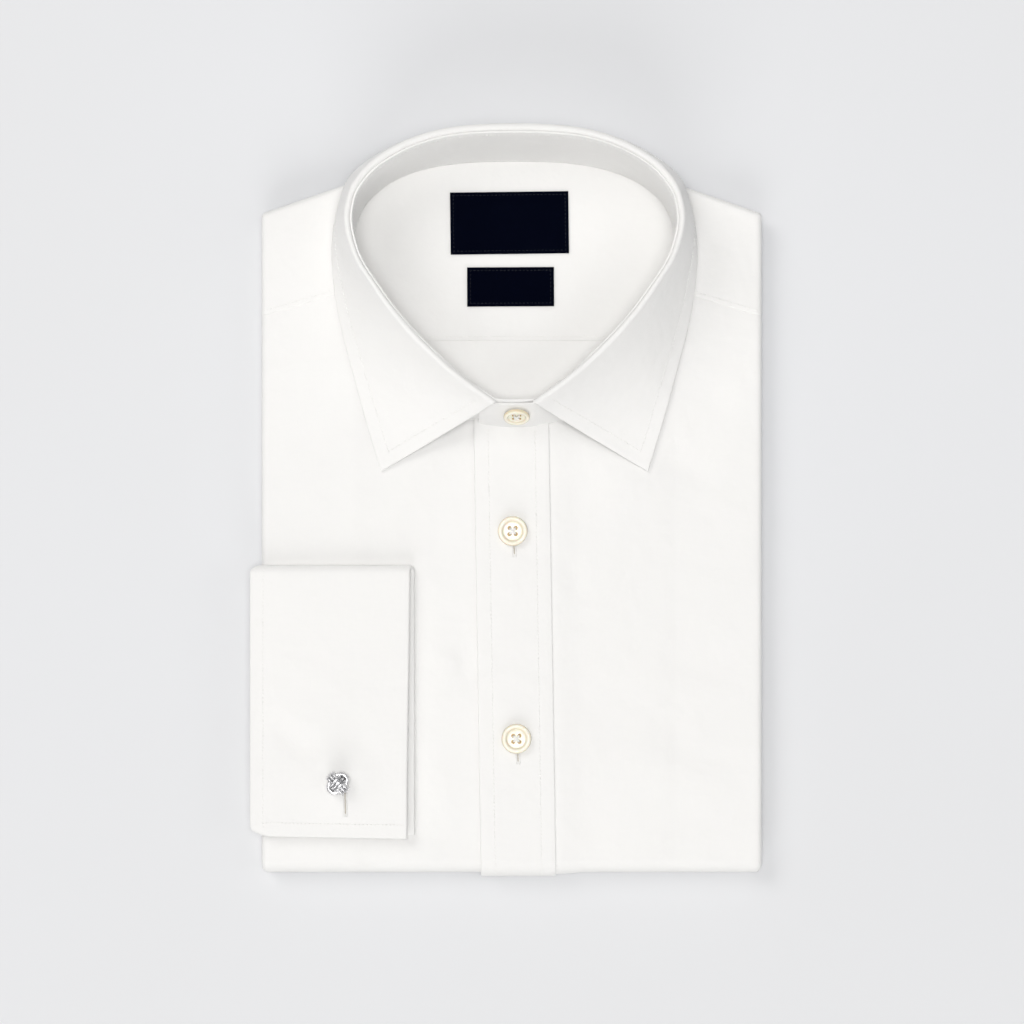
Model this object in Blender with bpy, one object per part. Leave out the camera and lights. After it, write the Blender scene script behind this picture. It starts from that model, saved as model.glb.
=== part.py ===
"""Long sleeve dress shirt, folded and lying face up.

The body is folded to a slab: the sides and sleeves are behind, the tail is turned up behind them.
The collar stands open as a ring, and the right sleeve comes round the side with its French cuff
on the front, closed by a knot cufflink.

Sizes are those of the pattern, in millimetres. mesh_object() grades points down to this shirt and
turns them into metres. While modelling, X is 0 on the middle of the body, Y is 0 at the bottom fold
and runs to the collar, and Z is 0 on the surface that the shirt lies on. At the end one empty carries every piece, so that the origin is the middle of the
shirt's box on that surface. "Left" and "right" in names are the wearer's, so left is at +X.
"""

import math

import bmesh
import bpy
import numpy as np

# ---- driving sizes, pattern millimetres -----------------------------------------------------

GRADE = 0.9  # from the pattern to this shirt, whose collar is 40 cm round
METRES = 0.001 * GRADE

WALL = 1.0  # cloth, sewn plies together
SEAM = 0.3  # gap between pieces

BODY_HALF = 120.0  # half the folded width
EDGE_HEIGHT = 14.0  # top of the fronts at the side folds
CROWN = 1.5  # how much the middle stands above the side folds
CROWN_RUN = 60.0  # the crown fades over this length at the bottom and at the shoulders
FOLD_REACH = 7.0  # how far the bottom fold bulges
SIDE_ROUND = 2.8  # radius of the fold along each side
TURN_UNDER = 12.0  # how far a front runs back inside its side fold

SHOULDER_TIP_Y = 316.7
SHOULDER_SLOPE = 0.345
NECK_POINT_X = 60.0  # the shoulder line ends here and the back neck begins
BACK_NECK_Y = 346.0

YOKE_SEAM_SIDE_Y = 267.4  # forward shoulder seam at the side fold
YOKE_SEAM_SLOPE = 0.29  # it rises towards the neck
YOKE_INNER_SEAM_Y = 255.8

PLACKET_WIDTH = 35.2
PLACKET_TOP_X = -0.2  # its middle at the neck
PLACKET_FOOT_X = 3.2  # its middle at the bottom fold
LAP = WALL + SEAM  # height of one cloth over another
FRONT_UNDER_X = 13.0  # edge of the right front, under the placket

NECK_X = 1.3  # axis of the collar
NECK_HALF = 77.5  # neck seam: half its width
NECK_SIDE_Y = 297.0  # where it is widest
NECK_FRONT_Y = 214.0
NECK_BACK_Y = 341.9
NECK_BACK_POWER = 2.6  # the back of the neck is squarer than an ellipse
NECK_EDGE = 1.9  # fronts and yoke stop this far outside the seam line

FOLD_ROLL = 1.8  # radius of the collar's roll
STAND_WALL = 1.0
LEAF_WALL = 1.2
STAND_LAP = 0.95  # each end of the stand stands this far from the seam line
STAND_OVER_X = -17.0  # the over end, from the collar's axis
STAND_UNDER_X = 15.0
STAND_END_ROUND = 8.0
STAND_END_LOW = 0.55  # share of the height where the rounding of an end begins

CUFF_FREE_X = -126.0  # turned-back edge, past the body's side
CUFF_WRIST_X = -48.4  # wrist fold of the upper half
CUFF_LOWER_OUT = 2.0  # the lower half shows this much past it
CUFF_LOWER_IN = 9.0  # the lower half's free edge stops this much short, inside the sleeve
CUFF_LOWER_IN_X = -106.0  # and it draws in from here outwards
CUFF_BEND_SHARE = 0.12  # half of this share of the way round the wrist is the fold
CUFF_FOOT_Y = 18.5  # kissing ends
CUFF_HEAD_Y = 148.0  # fold round the wrist
CUFF_HEAD_REACH = 4.0
CUFF_INSIDE = 2.0  # room for the sleeve between the two halves
CUFF_INNER_X = -117.0  # the inner ply ends here
CUFF_DROOP = 2.2  # the upper half's free edge hangs this much, from CUFF_DROOP_X outwards
CUFF_DROOP_X = -112.0

LINK_X = -82.6
LINK_Y = 44.6
LINK_HEAD = 6.4  # radius
LINK_HEAD_HEIGHT = 7.4
LINK_POST = 1.0  # radius
LINK_BACK = 5.0  # radius
LINK_BACK_THICK = 1.2
LINK_BUMP = 24.0  # the cuff rides over the link's back within this radius
SLOT_LENGTH = 22.0
SLOT_WIDTH = 2.6

BUTTON = 7.1  # radius
BUTTON_THICK = 2.6
BUTTON_RIM = 1.9
BUTTON_HOLE = 0.75  # radius
BUTTON_HOLE_SPREAD = 2.1  # from the middle
BUTTON_PLACES = (("button_front_1", 0.4, 164.3), ("button_front_2", 2.2, 65.1))
COLLAR_BUTTON_X = 1.0  # from the collar's axis
COLLAR_BUTTON_SIZE = 0.88  # of the front's buttons
COLLAR_BUTTON_UP = 0.66  # share of the stand's height

LABEL_THICK = 1.0
LABELS = (  # name, width, length, middle x, middle y, turn in degrees
    ("label_main", 56.2, 29.4, -1.1, 312.0, 0.7),
    ("label_size", 41.1, 18.3, -0.6, 281.3, 0.3),
)

TAIL_TOP_Y = 312.0  # fold at the top of the turned-up tail

# Half of the collar, from the front end to the middle of the back. x is from the collar's axis.
COLLAR_COLUMNS = "seam_x seam_y rim_x rim_y rim_z edge_x edge_y edge_z".split()
COLLAR_STATIONS = (
    (9.0, 214.6, 9.0, 225.6, 35.5, 63.6, 193.4, 16.3),
    (30.0, 219.6, 27.0, 238.6, 39.0, 70.0, 214.5, 16.4),
    (50.5, 234.0, 43.5, 253.8, 42.5, 77.0, 240.0, 16.4),
    (65.5, 252.6, 55.5, 267.0, 45.0, 83.5, 266.0, 16.2),
    (74.3, 277.0, 65.0, 279.8, 47.0, 86.4, 286.0, 16.0),
    (77.4, 297.0, 73.0, 292.6, 48.0, 87.0, 300.0, 16.0),
    (76.4, 310.0, 77.0, 306.8, 48.5, 85.6, 312.5, 16.0),
    (72.6, 319.4, 76.5, 317.4, 48.5, 82.6, 324.0, 16.0),
    (66.8, 326.2, 73.0, 326.2, 48.5, 78.6, 333.6, 13.5),
    (57.5, 332.8, 64.0, 336.0, 48.3, 68.5, 342.5, 6.0),
    (43.0, 338.2, 48.0, 345.0, 48.2, 51.0, 349.6, 4.0),
    (24.0, 341.2, 28.0, 350.4, 48.0, 29.5, 354.2, 3.5),
    (0.0, 341.9, 0.0, 351.9, 48.0, 0.0, 355.6, 3.5),
)


# ---- shapes of the folded body -----------------------------------------------------------------


def smooth(t):
    t = np.clip(t, 0.0, 1.0)
    return t * t * (3 - 2 * t)


def top_height(x, y):
    """Height of the fronts' outer face."""
    across = np.cos(np.clip(np.abs(x) / BODY_HALF, 0, 1) * math.pi / 2)
    along = smooth(y / CROWN_RUN) * smooth((BACK_NECK_Y - y) / CROWN_RUN)
    return EDGE_HEIGHT + CROWN * across * along


def placket_middle(y):
    share = np.clip(y / NECK_FRONT_Y, 0, 1)
    return PLACKET_FOOT_X + (PLACKET_TOP_X - PLACKET_FOOT_X) * share


def shoulder_y(x):
    """Top outline of the folded body."""
    x = np.abs(x)
    line = SHOULDER_TIP_Y + SHOULDER_SLOPE * (BODY_HALF - x)
    neck_y = SHOULDER_TIP_Y + SHOULDER_SLOPE * (BODY_HALF - NECK_POINT_X)
    share = smooth((NECK_POINT_X - x) / NECK_POINT_X)
    back = neck_y + (BACK_NECK_Y - neck_y) * share
    return np.where(x > NECK_POINT_X, line, back)


def yoke_seam_y(x):
    return YOKE_SEAM_SIDE_Y + YOKE_SEAM_SLOPE * (BODY_HALF - np.abs(x))


def neck_front_y(x):
    """Neck edge of the fronts."""
    share = np.clip(np.abs(x - NECK_X) / (NECK_HALF + NECK_EDGE), 0, 1)
    drop = NECK_SIDE_Y - NECK_FRONT_Y + NECK_EDGE
    return NECK_SIDE_Y - drop * np.sqrt(1 - share**2)


def neck_back_y(x):
    """Neck edge of the yoke."""
    share = np.clip(np.abs(x - NECK_X) / (NECK_HALF + NECK_EDGE), 0, 1)
    rise = NECK_BACK_Y - NECK_SIDE_Y + NECK_EDGE
    return NECK_SIDE_Y + rise * (1 - share**NECK_BACK_POWER) ** (1 / NECK_BACK_POWER)


def front_top_y(x):
    return np.minimum(yoke_seam_y(x), neck_front_y(x))


def press_in(x, angle):
    """Round the bottom fold the laps at the placket sink in, so that the underside is flat."""
    zone = smooth((36.0 - np.abs(x - PLACKET_FOOT_X)) / 14.0)
    return 2 * LAP * zone * smooth((angle - math.radians(70)) / math.radians(90))


def round_fold(x, depth, angle):
    """A point on the bottom fold: angle 0 is on the front, 180 degrees is on the underside."""
    depth = depth + press_in(x, angle)
    half = top_height(x, FOLD_REACH) / 2
    y = FOLD_REACH - (FOLD_REACH - depth) * np.sin(angle)
    z = half + (half - depth) * np.cos(angle)
    return y, z


# ---- making objects ------------------------------------------------------------------------------


def clear_scene():
    for old in list(bpy.data.objects):
        bpy.data.objects.remove(old, do_unlink=True)


def make_material(name, colour, roughness, metallic=0.0, sheen=0.0):
    material = bpy.data.materials.new(name)
    material.use_nodes = True
    shader = material.node_tree.nodes["Principled BSDF"]
    shader.inputs["Base Color"].default_value = (*colour, 1)
    shader.inputs["Roughness"].default_value = roughness
    shader.inputs["Metallic"].default_value = metallic
    shader.inputs["Sheen Weight"].default_value = sheen
    return material


def mesh_object(name, points, faces, material, parent):
    """A closed mesh whose faces point out, from points in pattern millimetres."""
    mesh = bpy.data.meshes.new(name)
    mesh.from_pydata([tuple(METRES * np.asarray(p, float)) for p in points], [], faces)
    shape = bmesh.new()
    shape.from_mesh(mesh)
    bmesh.ops.remove_doubles(shape, verts=shape.verts, dist=1e-6)
    if shape.calc_volume(signed=True) < 0:
        bmesh.ops.reverse_faces(shape, faces=shape.faces)
    shape.to_mesh(mesh)
    shape.free()
    mesh.materials.append(material)
    mesh.shade_smooth()
    mesh.set_sharp_from_angle(angle=math.radians(35))
    made = bpy.data.objects.new(name, mesh)
    bpy.context.scene.collection.objects.link(made)
    made.parent = parent
    return made


def cloth(name, outer, inner, material, parent):
    """A wall between two grids of points, closed along their four edges."""
    rows, columns = outer.shape[:2]
    points = np.concatenate([outer.reshape(-1, 3), inner.reshape(-1, 3)])
    count = rows * columns
    faces = []
    for r in range(rows - 1):
        for c in range(columns - 1):
            a = r * columns + c
            quad = (a, a + 1, a + 1 + columns, a + columns)
            faces.append(quad)
            faces.append(tuple(count + i for i in reversed(quad)))
    edge = [c for c in range(columns)]
    edge += [r * columns + columns - 1 for r in range(1, rows)]
    edge += [(rows - 1) * columns + c for c in range(columns - 2, -1, -1)]
    edge += [r * columns for r in range(rows - 2, 0, -1)]
    for a, b in zip(edge, edge[1:] + edge[:1]):
        faces.append((b, a, count + a, count + b))
    return mesh_object(name, points, faces, material, parent)


def grid_normals(points):
    """Unit normals of a grid of points."""
    along = np.gradient(points, axis=0)
    across = np.gradient(points, axis=1)
    normals = np.cross(along, across)
    return normals / np.linalg.norm(normals, axis=2, keepdims=True)


def wall_about(name, middle, wall, material, parent):
    """Cloth of an even thickness about a middle surface."""
    offset = grid_normals(middle) * wall / 2
    return cloth(name, middle + offset, middle - offset, material, parent)


def turned(name, profile, middle, sides, material, parent, tilt=0.0):
    """A solid turned about a vertical axis through middle, tilted about X. It starts and ends on the axis."""
    points = [(0.0, 0.0, profile[0][1])]
    for radius, height in profile[1:-1]:
        for side in range(sides):
            angle = 2 * math.pi * side / sides
            points.append((radius * math.cos(angle), radius * math.sin(angle), height))
    points.append((0.0, 0.0, profile[-1][1]))
    last = len(points) - 1
    faces = []
    for side in range(sides):
        after = (side + 1) % sides
        faces.append((0, 1 + after, 1 + side))
        for ring in range(len(profile) - 3):
            low, high = 1 + ring * sides, 1 + (ring + 1) * sides
            faces.append((low + side, low + after, high + after, high + side))
        top = 1 + (len(profile) - 3) * sides
        faces.append((top + side, top + after, last))
    lean = math.radians(tilt)
    placed = []
    for x, y, z in points:
        placed.append(
            (
                middle[0] + x,
                middle[1] + y * math.cos(lean) - z * math.sin(lean),
                middle[2] + y * math.sin(lean) + z * math.cos(lean),
            )
        )
    return mesh_object(name, placed, faces, material, parent)


def cut(target, cutter):
    """Takes a cutter away from a piece, and hides the cutter."""
    cutter.hide_render = True
    cutter.display_type = "WIRE"
    boolean = target.modifiers.new(cutter.name, "BOOLEAN")
    boolean.operation = "DIFFERENCE"
    boolean.solver = "EXACT"
    boolean.object = cutter


def box_of(low, high):
    xs, ys, zs = zip(low, high)
    points = [(x, y, z) for x in xs for y in ys for z in zs]
    faces = [(0, 1, 3, 2), (4, 6, 7, 5), (0, 4, 5, 1), (2, 3, 7, 6), (0, 2, 6, 4), (1, 5, 7, 3)]
    return points, faces


# ---- fronts, placket ---------------------------------------------------------------------------

FRONT_ROWS = 13
FOLD_ANGLES = [math.radians(a) for a in (14, 30, 48, 66, 84, 102, 120, 138, 155, 172)]


def side_fold(wall_in):
    """(x, depth) round a side fold, from the flat front to the edge that is turned under."""
    radius = SIDE_ROUND - wall_in
    flat_x = BODY_HALF - SIDE_ROUND
    section = []
    for degrees in (0, 30, 60, 90, 120, 150, 180):
        angle = math.radians(degrees)
        x = flat_x + radius * math.sin(angle)
        section.append((x, wall_in + radius * (1 - math.cos(angle))))
    section.append((BODY_HALF - TURN_UNDER, 2 * SIDE_ROUND - wall_in))
    return section


def front_grid(columns, top_y, drop_at):
    """Rows from the top edge down the front and round the bottom fold. columns give x, depth and lift."""
    shares = np.linspace(0, 1, FRONT_ROWS)
    grid = []
    for share in shares:
        row = []
        for x, depth, lift in columns:
            start = float(top_y(x))
            y = start + (FOLD_REACH - start) * share
            moved = x + drop_at(x, y)
            row.append((moved, y, float(top_height(moved, y)) - depth + lift))
        grid.append(row)
    for angle in FOLD_ANGLES:
        row = []
        for x, depth, lift in columns:
            moved = x + drop_at(x, 0.0)
            y, z = round_fold(moved, depth - lift, angle)
            row.append((moved, float(y), float(z)))
        grid.append(row)
    return np.array(grid)


def placket_slant(x, y):
    """How far a point near the placket moves across, because the placket runs a little askew."""
    near = smooth((60.0 - abs(x)) / 35.0)
    return float(near * placket_middle(y))


FRONT_XS = (24.0, 34.0, 45.0, 56.0, 65.0, 71.0, 75.0, 77.6, 79.0, 90.0, 104.0)


def make_front_right(material, parent):
    """The button side: flat under the placket, out to the fold at -X."""
    flat_xs = [FRONT_UNDER_X, 0.0, -13.0] + [-x for x in FRONT_XS]
    sides = []
    for wall_in in (0.0, WALL):
        columns = [(x, wall_in, 0.0) for x in flat_xs]
        columns += [(-x, depth, 0.0) for x, depth in side_fold(wall_in)]
        sides.append(front_grid(columns, front_top_y, placket_slant))
    return cloth("front_right", *sides, material, parent)


def make_front_left(material, parent):
    """The buttonhole side: it laps over the right front at the placket."""
    lap_edge = -PLACKET_WIDTH / 2 + 0.6
    flat_xs = [lap_edge, -6.0, 7.0, 19.0] + list(FRONT_XS)
    sides = []
    for wall_in in (0.0, WALL):
        columns = []
        for x in flat_xs:
            lift = LAP * float(smooth((34.0 - x) / 14.0))
            columns.append((x, wall_in, lift))
        columns += [(x, depth, 0.0) for x, depth in side_fold(wall_in)]
        sides.append(front_grid(columns, front_top_y, placket_slant))
    return cloth("front_left", *sides, material, parent)


def make_placket(material, parent):
    half = PLACKET_WIDTH / 2
    sides = []
    for wall_in in (0.0, WALL):
        columns = [(x, wall_in, 2 * LAP) for x in (-half, -9.0, 0.0, 9.0, half)]
        sides.append(front_grid(columns, front_top_y, placket_slant))
    return cloth("placket", *sides, material, parent)


# ---- yoke, back ----------------------------------------------------------------------------------


def make_yoke(material, parent):
    """Outer yoke: from the forward seams over the shoulders, and behind the neck, rounded down at the rim."""
    side_xs = [79.5, 80.2, 86.0, 95.0, 106.0, BODY_HALF - SIDE_ROUND]
    neck_xs = [0.0, 14.0, 28.0, 42.0, 54.0, 62.0, 68.0, 72.0, 75.5, 78.0]
    quarter = [math.radians(a) for a in (0, 30, 60, 90)]
    drop = SIDE_ROUND - 0.4
    half = [(x, 0.0, 0.0) for x in neck_xs + side_xs]
    half += [(BODY_HALF - SIDE_ROUND, a, 0.0) for a in quarter[1:]]
    half.append((BODY_HALF - SIDE_ROUND, quarter[-1], drop))
    columns = [(-x, a, d, -1) for x, a, d in reversed(half)] + [(x, a, d, 1) for x, a, d in half[1:]]
    rows = [(share, 0.0, 0.0) for share in (0.0, 0.25, 0.5, 0.75, 1.0)]
    rows += [(1.0, a, 0.0) for a in quarter[1:]]
    rows.append((1.0, quarter[-1], drop))
    neck_edge = NECK_HALF + NECK_EDGE
    sides = []
    for wall_in in (0.0, WALL):
        radius = SIDE_ROUND - wall_in
        grid = []
        for share, tip, tip_drop in rows:
            row = []
            for x, turn, turn_drop, side in columns:
                on_neck = abs(x - NECK_X) < neck_edge
                low = float(neck_back_y(x)) if on_neck else float(yoke_seam_y(x)) + SEAM
                y = low + (float(shoulder_y(x)) - SIDE_ROUND - low) * share
                z = float(top_height(x, y)) - SIDE_ROUND
                reach = math.cos(tip)
                row.append(
                    (
                        x + side * radius * math.sin(turn) * reach,
                        y + radius * math.sin(tip),
                        z + radius * math.cos(turn) * reach - max(tip_drop, turn_drop),
                    )
                )
            grid.append(row)
        sides.append(np.array(grid))
    return cloth("yoke", *sides, material, parent)


def make_layer(name, low_y, high_y, half_width, material, parent):
    """A ply of the back, lying under the fronts."""
    xs = np.linspace(-half_width, half_width, 17)
    sides = []
    for depth in (LAP, LAP + WALL):
        grid = []
        for share in np.linspace(0, 1, 9):
            row = []
            for x in xs:
                low, high = float(low_y(x)), float(high_y(x))
                y = low + (high - low) * share
                row.append((x, y, float(top_height(x, y)) - depth))
            grid.append(row)
        sides.append(np.array(grid))
    return cloth(name, *sides, material, parent)


# ---- hidden layers ----------------------------------------------------------------------------


def make_folded_layers(material, parent):
    """The folded sides, sleeves and tail: one solid, beaded along its sides where folds lie on each other."""
    plies_in = 2 * LAP  # below the back
    shelf = EDGE_HEIGHT - 2 * SIDE_ROUND - SEAM - 0.1  # top of the uppermost bead
    notch = shelf - WALL - 0.2  # lower where the sleeve passes
    low_beads = ((0.0, 2.7, 119.0), (2.9, 5.4, 118.2))  # bottom, top and reach
    root_x = 116.6
    inside_x = BODY_HALF - TURN_UNDER - 0.6
    finger_x = 114.6
    finger_low = 2 * SIDE_ROUND - WALL - SEAM  # depth of the finger's underside

    def half_section(shelf_z):
        """(x, height, from the top?, on the tail?) from the bottom middle to the top middle."""
        section = [(60.0, 0.0, False, True), (100.0, 0.0, False, True), (root_x, 0.0, False, True)]
        for low, high, reach in low_beads:
            middle, half = (low + high) / 2, (high - low) / 2
            for degrees in (-52, 0, 52):
                angle = math.radians(degrees)
                x = root_x + (reach - root_x) * math.cos(angle)
                section.append((x, middle + half * math.sin(angle), False, True))
            section.append((root_x, high + 0.1, False, high < 5))
        low, reach = 5.6, 119.4
        middle, half = (low + shelf_z) / 2, (shelf_z - low) / 2
        for degrees in (-52, 0, 52):
            angle = math.radians(degrees)
            x = root_x + (reach - root_x) * math.cos(angle)
            section.append((x, middle + half * math.sin(angle), False, False))
        section += [(root_x, shelf_z, False, False), (inside_x, shelf_z, False, False)]
        section += [(inside_x, finger_low, True, False), (finger_x, finger_low, True, False)]
        section += [(finger_x + 0.8, (finger_low + plies_in) / 2, True, False)]
        section += [(x, plies_in, True, False) for x in (finger_x, 100.0, 80.0, 60.0, 40.0, 20.0, 0.0)]
        return section

    sleeve_low, sleeve_high = CUFF_FOOT_Y + 1.0, CUFF_HEAD_Y - 2.0
    start = FOLD_REACH + 0.5
    row_ys = [start, sleeve_low, sleeve_low + 0.2, 50.0, 90.0, 125.0, sleeve_high - 0.2, sleeve_high]
    row_ys += [180.0, 215.0, 250.0, 280.0, 300.0, TAIL_TOP_Y]
    rows = []
    for row_y in row_ys:
        share = (row_y - start) / (TAIL_TOP_Y - start)
        sleeved = sleeve_low + 0.1 < row_y < sleeve_high - 0.1
        right = half_section(shelf)
        left = [(-x, *rest) for x, *rest in half_section(notch if sleeved else shelf)][:-1]
        row = []
        for x, height, from_top, on_tail in right + left[::-1]:
            if on_tail:
                end = TAIL_TOP_Y
            else:
                end = float(shoulder_y(min(abs(x), BODY_HALF))) - SIDE_ROUND - 2.0
                end = min(end, float(shoulder_y(118.0)) - 4.0) if abs(x) > inside_x else end
            y = start + (end - start) * share
            z = float(top_height(x, y)) - height if from_top else height
            row.append((x, y, z))
        rows.append(row)
    count = len(rows[0])
    faces = []
    for r in range(len(rows) - 1):
        for c in range(count):
            after = (c + 1) % count
            faces.append((r * count + c, r * count + after, (r + 1) * count + after, (r + 1) * count + c))
    faces.append(tuple(range(count))[::-1])
    faces.append(tuple((len(rows) - 1) * count + c for c in range(count)))
    points = [p for row in rows for p in row]
    return mesh_object("folded_layers", points, faces, material, parent)


# ---- collar ------------------------------------------------------------------------------------


def spline(values, at):
    """Catmull-Rom through rows of values, at a fractional row. The last row is the middle of the back."""
    rows = np.array(values, float)
    last = len(rows) - 1
    k = min(int(at), last - 1)
    t = at - k
    mirrored = rows[last - 1] * [-1, 1, -1, 1, 1, -1, 1, 1]
    before = rows[k - 1] if k > 0 else 2 * rows[0] - rows[1]
    after = rows[k + 2] if k + 2 <= last else mirrored
    a, b = rows[k], rows[k + 1]
    steps = 2 * a + (b - before) * t
    steps = steps + (2 * before - 5 * a + 4 * b - after) * t**2
    return 0.5 * (steps + (3 * a - before - 3 * b + after) * t**3)


def collar_at(along):
    """The stations' columns at a place from -1 (right front end) through 0 (back) to 1 (left front end)."""
    last = len(COLLAR_STATIONS) - 1
    row = spline(COLLAR_STATIONS, (1 - abs(along)) * last)
    side = -1.0 if along < 0 else 1.0
    station = dict(zip(COLLAR_COLUMNS, row))
    for key in ("seam_x", "rim_x", "edge_x"):
        station[key] = NECK_X + side * station[key]
    return station


def stand_end(x, rim_drop):
    """A station of the stand between the leaf's two front ends; x is from the collar's axis."""
    front = collar_at(1.0)
    seam_y = NECK_SIDE_Y - (NECK_SIDE_Y - NECK_FRONT_Y) * math.sqrt(1 - (x / NECK_HALF) ** 2)
    rim_y = front["rim_y"] + (seam_y - front["seam_y"]) / 2
    place = NECK_X + x
    return dict(front, seam_x=place, seam_y=seam_y, rim_x=place, rim_y=rim_y, rim_z=front["rim_z"] - rim_drop)


def end_height(left):
    """Share of the stand's height that is left this near a rounded end."""
    rise = math.sqrt(1 - (1 - min(left / STAND_END_ROUND, 1)) ** 2)
    return STAND_END_LOW + (1 - STAND_END_LOW) * rise


def stand_section(station, rows, lean=0.0, top=1.0):
    """Points up the stand, from the neck seam to the rim, pushed sideways at the front by lean."""
    seam_x, seam_y = station["seam_x"], station["seam_y"] + lean
    base = float(top_height(seam_x, seam_y)) - WALL
    points = []
    for share in np.linspace(0, 1, rows) * top:
        bow = 1.2 * math.sin(math.pi * share)
        points.append(
            (
                seam_x + (station["rim_x"] - seam_x) * share,
                seam_y + (station["rim_y"] + lean - seam_y) * share - bow * (0.4 if lean else 0.0),
                base + (station["rim_z"] - base) * share,
            )
        )
    return points


def make_collar_stand(material, parent):
    """One band: from its under end at the front, round the neck, to its over end."""
    rows = 5
    ring = np.linspace(-1, 1, 41)
    section = []
    leaf_x = COLLAR_STATIONS[0][0]
    ends = np.linspace(0, 1, 8)
    for share in ends[:-1]:  # the under end, inside
        x = STAND_UNDER_X - (leaf_x + STAND_UNDER_X) * share
        top = end_height(STAND_UNDER_X - x)
        section.append(stand_section(stand_end(x, 0.0), rows, STAND_LAP, top))
    for along in ring:
        station = collar_at(float(along))
        nearness = float(smooth((abs(along) - 0.86) / 0.14))
        lean = nearness * (STAND_LAP if along < 0 else -STAND_LAP)
        section.append(stand_section(station, rows, lean))
    for share in ends[1:]:  # the over end, outside
        x = leaf_x + (STAND_OVER_X - leaf_x) * share
        top = end_height(x - STAND_OVER_X)
        section.append(stand_section(stand_end(x, float(smooth(3 * share))), rows, -STAND_LAP, top))
    return wall_about("collar_stand", np.array(section), STAND_WALL, material, parent)


def leaf_section(station, falls):
    """Points from the rim, over the roll and down to the leaf's edge."""
    rim = np.array([station["rim_x"], station["rim_y"]])
    edge = np.array([station["edge_x"], station["edge_y"]])
    reach = float(np.linalg.norm(edge - rim))
    out = (edge - rim) / reach
    roll = FOLD_ROLL
    start_z = station["rim_z"] + 2 * SEAM
    drop = start_z - station["edge_z"]
    path = []
    for degrees in (180, 140, 90, 40, 0):
        angle = math.radians(degrees)
        path.append((roll + roll * math.cos(angle), roll * math.sin(angle)))
    far = reach - 2 * roll
    bow = 1.6 * float(smooth((30 - reach) / 20))
    for t in np.linspace(0, 1, falls + 1)[1:]:
        out_share = 3 * (1 - t) ** 2 * t * 0.22 + 3 * (1 - t) * t**2 * 0.68 + t**3
        drop_share = 3 * (1 - t) ** 2 * t * 0.32 + 3 * (1 - t) * t**2 * 0.84 + t**3
        path.append((2 * roll + far * out_share + bow * math.sin(math.pi * t), -drop * drop_share))
    points = []
    for outward, up in path:
        x, y = rim + out * outward
        points.append((x, y, start_z + up))
    return points


def make_collar_leaf(material, parent):
    section = [leaf_section(collar_at(float(along)), 7) for along in np.linspace(-1, 1, 45)]
    return wall_about("collar_leaf", np.array(section), LEAF_WALL, material, parent)


# ---- cuff, sleeve, cufflink -----------------------------------------------------------------


def cuff_floor(x, y):
    """The face that the cuff lies on: the front, and the cufflink's back where it is."""
    away = math.hypot(x - LINK_X, y - LINK_Y)
    bump = (LINK_BACK_THICK + 2 * SEAM) * float(smooth((LINK_BUMP - away) / (LINK_BUMP - LINK_BACK)))
    inside = max(x, -BODY_HALF + SIDE_ROUND)
    return float(top_height(inside, y)) + SEAM + bump


CUFF_HALF = 2 * WALL + SEAM  # thickness of one half
CUFF_THICK = 2 * CUFF_HALF + CUFF_INSIDE


def cuff_point(x, depth, share):
    """share runs from -1, the kissing end below, through 0, the fold round the wrist, to 1, the end above."""
    bend = CUFF_BEND_SHARE
    flat_top = CUFF_HEAD_Y - CUFF_HEAD_REACH
    side = 1.0 if share > 0 else -1.0
    if abs(share) >= bend:
        y = flat_top + (CUFF_FOOT_Y - flat_top) * (abs(share) - bend) / (1 - bend)
        level = CUFF_THICK / 2 + side * (CUFF_THICK / 2 - depth)
    else:
        angle = math.pi / 2 * share / bend
        y = flat_top + (CUFF_HEAD_REACH - depth) * math.cos(angle)
        level = CUFF_THICK / 2 + (CUFF_THICK / 2 - depth) * math.sin(angle)
    below = float(smooth((0.1 - share) / 0.2))
    shift = below * CUFF_LOWER_OUT * float(smooth((x + 100) / 50))
    shift += below * CUFF_LOWER_IN * max(CUFF_LOWER_IN_X - x, 0) / (CUFF_LOWER_IN_X - CUFF_FREE_X)
    hang = max(CUFF_DROOP_X - x, 0) / (CUFF_DROOP_X - CUFF_FREE_X)
    level -= (1 - below) * CUFF_DROOP * hang**2
    return (x + shift, y, cuff_floor(x + shift, y) + level)


def make_cuff(material, parent):
    """A double cuff: turned back at the wrist fold, then folded round the wrist, its two ends kissing."""
    shares = [-1.0, -0.93, -0.86, -0.79, -0.7, -0.55, -0.4, -0.25, -CUFF_BEND_SHARE]
    shares += [-0.08, -0.04, 0.0, 0.04, 0.08] + [-s for s in shares[::-1]]
    turn = CUFF_HALF / 2
    outer_xs = [CUFF_FREE_X, -118.0, -106.0, -97.0, -89.0, LINK_X, -76.0, -68.0, -58.0]
    inner_xs = outer_xs[:0:-1] + [CUFF_INNER_X]
    inner_xs = [x for x in inner_xs if x >= CUFF_INNER_X]
    sides = []
    for wall_in in (0.0, WALL):
        radius = turn - wall_in
        columns = [(x, wall_in) for x in outer_xs]
        for degrees in (0, 45, 90, 135, 180):
            angle = math.radians(degrees)
            x = CUFF_WRIST_X - turn + radius * math.sin(angle)
            columns.append((x, turn - radius * math.cos(angle)))
        columns += [(x, CUFF_HALF - wall_in) for x in inner_xs]
        sides.append(np.array([[cuff_point(x, d, s) for x, d in columns] for s in shares]))
    cuff = cloth("cuff_right", *sides, material, parent)
    middle = LINK_Y - 3.0
    low = (LINK_X - SLOT_WIDTH / 2, middle - SLOT_LENGTH / 2, EDGE_HEIGHT - 2)
    high = (LINK_X + SLOT_WIDTH / 2, middle + SLOT_LENGTH / 2, EDGE_HEIGHT + CUFF_THICK + 8)
    cut(cuff, mesh_object("cuff_slot", *box_of(low, high), material, parent))
    return cuff


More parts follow.
